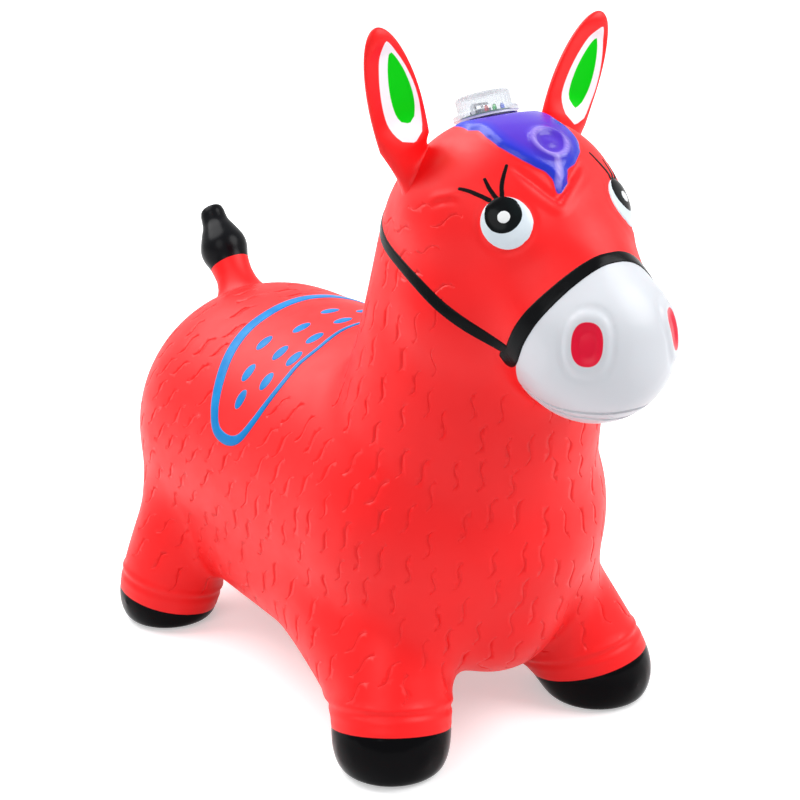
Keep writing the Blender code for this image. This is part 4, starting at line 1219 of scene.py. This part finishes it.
# %% Both ears
ears = {}
for side_name, side in SIDES.items():
    up = mirrored(EAR_UP, side).normalized()
    across = side * mirrored(EAR_ACROSS, side).normalized()
    front = across.cross(up)
    base = mirrored(EAR_HINGE, side) - up * EAR_BASE_TO_HINGE
    rise = EAR_RISES[side_name]

    def ear_spot(turn, height, swell=0.0):
        half = ear_half(height / EAR_LENGTH) + swell
        y = half * math.cos(turn)
        x = (half * EAR_FLAT + swell * SWELL_FLAT) * math.sin(turn)
        if math.sin(turn) > 0.0:
            dish = ease(height, *DISH_FOOT) * ease(EAR_LENGTH - height, *DISH_TIP)
            x -= EAR_DISH * dish * math.sin(turn) ** DISH_POWER * half / EAR_HALF
        reach = max(height / EAR_LENGTH, 0.0) ** 2
        return base + across * (y + side * EAR_SPLAY * reach) + front * x + up * (height + rise * reach)

    skin_tube = tube(56, 54, grown(ear_spot, EAR_LENGTH, *EAR_FOOT))
    obj = smooth_shaded(new_object(side_name + "_ear_skin", skin_tube), 70)
    spots = []
    for vert in obj.data.vertices:
        away = vert.co - base
        height = away.dot(up) * EAR_LENGTH / (EAR_LENGTH + rise)
        splay = side * EAR_SPLAY * max(height / EAR_LENGTH, 0.0) ** 2
        spots.append((height, away.dot(across) - splay, vert.normal.dot(front) > EAR_FRONT))
    store_rest(obj)
    store(obj, "groove", [0.0] * len(spots))
    for mask, (low, high, half) in EAR_PAINTS.items():
        shift = EAR_PAINT_SHIFTS[side_name][mask]
        store(obj, mask, [almond(height, y - shift, low, high, half) if in_front else OFF_EAR
                          for height, y, in_front in spots])
    ears[side_name] = obj
ear_material = plastic_skin("red skin with painted ear", ("leaf", BRIGHT_WHITE, 0.35, 0.20),
                            ("heart", GREEN, 0.35, 0.08))
for obj in ears.values():
    obj.data.materials.append(ear_material)
print("ear:", len(ears["left"].data.polygons), "faces")

# %% [markdown]
# ## Tail
# The tail is a short red stump with a black tuft that swells, narrows and ends in a knob. It is a tube
# like the ears.

# %% Tail
TAIL_HINGE, TAIL_BASE_TO_HINGE = Vector((-0.2323, 0.0, 0.2718)), 0.012
TAIL_UP = Vector((-0.6606, 0.0, 0.7507)).normalized()
TAIL_BASE = TAIL_HINGE - TAIL_UP * TAIL_BASE_TO_HINGE
TAIL_SIDE = Vector((0, 1, 0))
TAIL_FRONT = TAIL_SIDE.cross(TAIL_UP)
TAIL_LENGTH, TAIL_CURL, TUFT_START = 0.078, 0.10, 0.0252
TAIL_FOOT = (0.2, 0.014, 0.95, (-0.003, 0.007, -0.0006), (0.0, 0.0005, 0.0010))
TAIL_PROFILE = through(((0.0172, 0, 0), (0.0161, 0, 0.014), (0.0172, 0, 0.026), (0.0200, 0, 0.036),
                        (0.0199, 0, 0.044), (0.0160, 0, 0.054), (0.0121, 0, 0.062), (0.0110, 0, 0.0675),
                        (0.0104, 0, 0.0725), (0.0080, 0, 0.0765), (0.0, 0, 0.078)), 0.0005)


def tail_radius(height):
    """The tail's radius at a height, read off its profile."""
    for first, second in zip(TAIL_PROFILE, TAIL_PROFILE[1:]):
        if height <= second.z:
            share = max(height - first.z, 0.0) / max(second.z - first.z, 1e-9)
            return max(first.x + (second.x - first.x) * share, 0.0)
    return 0.0


def tail_spot(turn, height, swell=0.0):
    radius = tail_radius(height) + swell
    bend = TAIL_CURL * max(height, 0.0) ** 2 / TAIL_LENGTH
    return (TAIL_BASE + TAIL_UP * height + TAIL_FRONT * (bend + radius * math.cos(turn))
            + TAIL_SIDE * radius * math.sin(turn))


skin_tube = tube(56, 70, grown(tail_spot, TAIL_LENGTH, *TAIL_FOOT))
tail = smooth_shaded(new_object("tail_skin", skin_tube), 60)
store_rest(tail)
store(tail, "groove", [0.0] * len(tail.data.vertices))
store(tail, "tuft", [(vert.co - TAIL_BASE).dot(TAIL_UP) - TUFT_START for vert in tail.data.vertices])
tail.data.materials.append(plastic_skin("red skin with black tuft", ("tuft", linear(5, 6, 10), 0.26, 0.10)))
print("tail:", len(tail.data.polygons), "faces")

# %% [markdown]
# ## Module
# The clear cap is turned with a ribbed rim, so that fingers can grip it, and is hollow. It is spun from a
# profile and then its rim is pushed in and out in step with the angle. Only its outer side shines, so
# the parts inside stay easy to see. The parts below it keep their solids and get finishes.

# %% Clear ribbed cap
CAP_LOW, CAP_RADIUS, CAP_HEIGHT, CAP_WALL = 0.0018, 0.0193, 0.0158, 0.0012
BRIM_RADIUS, BRIM_TOP = 0.0232, 0.0040
RIBS, RIB_DEPTH, STEPS_PER_RIB, ON_RIM = 28, 0.0006, 8, 0.0002
CAP_PROFILE = ((0, CAP_HEIGHT), (CAP_RADIUS - 0.0035, CAP_HEIGHT), (CAP_RADIUS - 0.0030, CAP_HEIGHT - 0.0006),
               (CAP_RADIUS - 0.0024, CAP_HEIGHT - 0.0006), (CAP_RADIUS - 0.0012, CAP_HEIGHT - 0.0003),
               (CAP_RADIUS - 0.0004, CAP_HEIGHT - 0.0010), (CAP_RADIUS, CAP_HEIGHT - 0.0020),
               (CAP_RADIUS, BRIM_TOP + 0.0010), (CAP_RADIUS + 0.0004, BRIM_TOP),
               (BRIM_RADIUS - 0.0004, BRIM_TOP - 0.0004), (BRIM_RADIUS, BRIM_TOP - 0.0010),
               (BRIM_RADIUS, 0.0), (CAP_RADIUS - CAP_WALL, 0.0), (CAP_RADIUS - CAP_WALL, CAP_HEIGHT - 0.0026),
               (CAP_RADIUS - 0.0026, CAP_HEIGHT - CAP_WALL), (0, CAP_HEIGHT - CAP_WALL))
OUTER_RADIUS, OUTER_HEIGHT = CAP_RADIUS - CAP_WALL * 0.7, CAP_HEIGHT - 0.0010
ribbed = spun(CAP_PROFILE, RIBS * STEPS_PER_RIB)
outer = []
for vert in ribbed.verts:
    reach = math.hypot(vert.co.x, vert.co.y)
    outer.append(float(reach > OUTER_RADIUS or vert.co.z > OUTER_HEIGHT))
    if abs(reach - CAP_RADIUS) < ON_RIM and vert.co.z > BRIM_TOP:
        wave = math.cos(RIBS * math.atan2(vert.co.y, vert.co.x))
        shrink = 1.0 - RIB_DEPTH * (0.5 - 0.5 * wave) / reach
        vert.co.x *= shrink
        vert.co.y *= shrink
ribbed.transform(on_module() @ Matrix.Translation((0, 0, CAP_LOW)))
cap = smooth_shaded(new_object("clear_cap", ribbed), 30)
store(cap, "outer", outer)
clear = new_material("clear plastic")
gloss = add(clear, "BsdfPrincipled", {"Base Color": (0.66, 0.68, 0.71, 1.0), "IOR": 1.49,
                                      "Specular IOR Level": 0.25,
                                      "Roughness": clouds(clear, object_place(clear), 90.0, 2.0, 0.24, 0.34)})
through_it = add(clear, "BsdfTransparent", {"Color": (0.95, 0.96, 0.97, 1.0)})
slant = ranged(clear, add(clear, "LayerWeight", {"Blend": 0.25}).outputs["Facing"], 0.0, 1.0, 0.20, 0.90)
slant = maths(clear, "MULTIPLY", slant, read(clear, "outer"))
both = add(clear, "MixShader", {0: slant, 1: through_it.outputs[0], 2: gloss.outputs[0]})
add(clear, "OutputMaterial", {"Surface": both.outputs[0]})
cap.data.materials.append(clear)
print("cap:", len(cap.data.polygons), "faces")

# %% [markdown]
# ## Finishes of the small solids
# Every solid that still shows gets its own finish: enamel on the board, brushed metal on the cells and
# contacts, tinted clear plastic on the lamps, soft plastic on the leads and on the plug.

# %% Small solids
STEEL = ("brushed steel", (196, 198, 202), 0.28, 400.0, {"Metallic": 1.0})
TINTED = {"Transmission Weight": 0.7}
FINISHES = {
    "air_plug": ("plug plastic", (228, 228, 226), 0.42),
    "module_tub": ("tub plastic", (226, 228, 232), 0.35),
    "circuit_board": ("board enamel", (34, 92, 66), 0.35),
    "chip_blob": ("black resin", (22, 22, 24), 0.25),
    "cell_holder": ("holder plastic", (70, 84, 104), 0.45),
    "speaker_disc": ("speaker brass", (206, 178, 104), 0.3, 400.0, {"Metallic": 1.0}),
    "speaker_wire_red": ("red lead", (200, 24, 28), 0.4),
    "speaker_wire_black": ("black lead", (26, 26, 28), 0.4),
    "led_red": ("red lamp", (240, 70, 70), 0.1, 220.0, TINTED),
    "led_green": ("green lamp", (80, 220, 110), 0.1, 220.0, TINTED),
    "led_blue": ("blue lamp", (90, 130, 245), 0.1, 220.0, TINTED),
}
for name in ("button_cell_1", "button_cell_2", "button_cell_3", "positive_contact", "negative_contact",
             "trembler_spring", "trembler_pin"):
    FINISHES[name] = STEEL


def plain_finish(name, screen_colour, roughness, scale=220.0, extra=None):
    """A plain finish with a faint change of shade, a fine grain and a slightly uneven gloss."""
    material = new_material(name)
    place = object_place(material)
    colour = linear(*screen_colour)
    dull = (*(value * 0.9 for value in colour[:3]), 1.0)
    grain = bumped(material, noise(material, place, scale * 5), 0.15, 0.0002)
    rough = clouds(material, place, scale, 2.0, roughness - 0.06, roughness + 0.06)
    shade = mix(material, clouds(material, place, scale / 4, 3.0), dull, colour)
    return surface(material, {"Base Color": shade, "Normal": grain, "Roughness": rough, **(extra or {})})


made_finishes = {}
for name, finish in FINISHES.items():
    if finish[0] not in made_finishes:
        made_finishes[finish[0]] = plain_finish(*finish)
    solid = bpy.data.objects[name]
    solid.data.materials.clear()
    solid.data.materials.append(made_finishes[finish[0]])
print("solids with finishes:", len(FINISHES))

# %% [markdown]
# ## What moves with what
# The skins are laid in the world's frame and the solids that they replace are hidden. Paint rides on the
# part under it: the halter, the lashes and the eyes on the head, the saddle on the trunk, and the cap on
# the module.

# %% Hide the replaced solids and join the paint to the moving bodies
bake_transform(body_skin)
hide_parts("torso_skin", "neck_base", "head_skin")
for name, obj in leg_pieces.items():
    leg = LEGS[name]
    height = LEG_CUT[name.split("_")[0]]
    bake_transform(obj)
    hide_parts(name + "_leg", name + "_hoof")
for side_name, obj in ears.items():
    side = SIDES[side_name]
    hinge = mirrored(EAR_HINGE, side)
    up = mirrored(EAR_UP, side)
    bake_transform(obj)
    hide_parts(side_name + "_ear", side_name + "_ear_root")
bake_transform(tail)
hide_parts("tail_root", "tail_tuft")
for obj in (halter, lashes, *eye_pieces):
    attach(obj, "head")
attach(saddle, "torso")
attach(cap, "module")
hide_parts("module_cap")
print("joined")

# %% [markdown]
# ## Floor, light and camera
# A white sweep and three large soft lamps, as in a product photograph. The camera stands at the
# photograph's place.

# %% Studio
CAMERA_PLACE = Vector((1.1863, -0.8634, 0.731))
CAMERA_RIGHT = Vector((0.5906, 0.8070, 0.0))
CAMERA_UP = Vector((-0.2627, 0.1923, 0.9455))
CAMERA_BACK = Vector((0.7630, -0.5584, 0.3256))
LENS, SENSOR = 90.1, 36.0
PAPER_SHADES = ((0.80, 0.80, 0.81, 1.0), (0.82, 0.82, 0.83, 1.0))
PURE_WHITE = (1.0, 1.0, 1.0, 1.0)
FLOOR_HALF, FLOOR_DROP = 9.0, 0.0006
GLOW_FROM, GLOW_TO, GLOW_NEAR, GLOW_FAR = 0.45, 1.6, 0.45, 0.95
SKY_LIGHT = 0.34
LAMP_MIDDLE, LAMP_TARGET = Vector((0, 0, 0.25)), Vector((0, 0, 0.22))
# Each lamp gives its place from the middle, to the camera's right, up and back, and its size and power.
LAMPS = (("key lamp", -0.8, 1.35, -0.4, 1.5, 32.0), ("fill lamp", 1.25, 1.0, 0.3, 1.2, 21.0),
         ("front lamp", -0.7, 0.6, 1.6, 1.2, 8.8))
scene = bpy.context.scene
scene.view_settings.view_transform = "Standard"


def direct_rays(owner):
    """1 for rays that come straight from the camera, by way of a reflection or through glass."""
    path = add(owner, "LightPath", {}).outputs
    mirror_or_eye = maths(owner, "MAXIMUM", path["Is Camera Ray"], path["Is Glossy Ray"])
    return maths(owner, "MAXIMUM", mirror_or_eye, path["Is Transmission Ray"])


def add_to_scene(name, data):
    obj = bpy.data.objects.new(name, data)
    scene.collection.objects.link(obj)
    return obj


print("the camera stands", round(CAMERA_PLACE.length, 2), "m from the origin")

# %% Floor
sheet = bmesh.new()
bmesh.ops.create_grid(sheet, x_segments=1, y_segments=1, size=FLOOR_HALF)
floor = new_object("floor", sheet)
floor.location.z = -FLOOR_DROP
paper = new_material("white paper")
tint = mix(paper, clouds(paper, object_place(paper), 40.0, 2.0), *PAPER_SHADES)
away = add(paper, "VectorMath", {0: object_place(paper)}, operation="LENGTH").outputs["Value"]
glow = ranged(paper, away, GLOW_FROM, GLOW_TO, GLOW_NEAR, GLOW_FAR)
surface(paper, {"Base Color": tint, "Roughness": 0.7, "Emission Color": PURE_WHITE,
                "Emission Strength": maths(paper, "MULTIPLY", direct_rays(paper), glow)})
floor.data.materials.append(paper)
floor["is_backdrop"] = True
print("the floor is", 2 * FLOOR_HALF, "m wide")

# %% Lamps and sky
lamps = []
for name, right, rise, back, size, power in LAMPS:
    lamp = bpy.data.lights.new(name, "AREA")
    lamp.shape = "DISK"
    lamp.size = size
    lamp.energy = power
    holder = add_to_scene(name, lamp)
    holder.location = LAMP_MIDDLE + CAMERA_RIGHT * right + UP * rise + CAMERA_BACK * back
    holder.rotation_euler = (LAMP_TARGET - holder.location).to_track_quat("-Z", "Y").to_euler()
    lamps.append(holder)
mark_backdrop(*lamps)
world = bpy.data.worlds.new("studio")
scene.world = world
world.use_nodes = True
sky = world.node_tree.nodes["Background"]
sky.inputs["Color"].default_value = PURE_WHITE
world.node_tree.links.new(ranged(world, direct_rays(world), 0.0, 1.0, SKY_LIGHT, 1.0), sky.inputs["Strength"])
print("lamps:", [holder.name for holder in lamps])

# %% Camera
view = bpy.data.cameras.new("camera")
view.lens, view.sensor_width = LENS, SENSOR
camera = add_to_scene("camera", view)
turn = Matrix((CAMERA_RIGHT, CAMERA_UP, CAMERA_BACK)).transposed().to_4x4()
camera.matrix_world = Matrix.Translation(CAMERA_PLACE) @ turn
scene.camera = camera
print("camera at", [round(v, 3) for v in camera.location])

# %% [markdown]
# ## Size
# Dressing the horse must not change its size. The box round everything that shows is printed.

# %% Print the size of what shows
bpy.context.view_layer.update()
low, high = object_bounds()
print("visual from", [round(v, 4) for v in low], "to", [round(v, 4) for v in high])
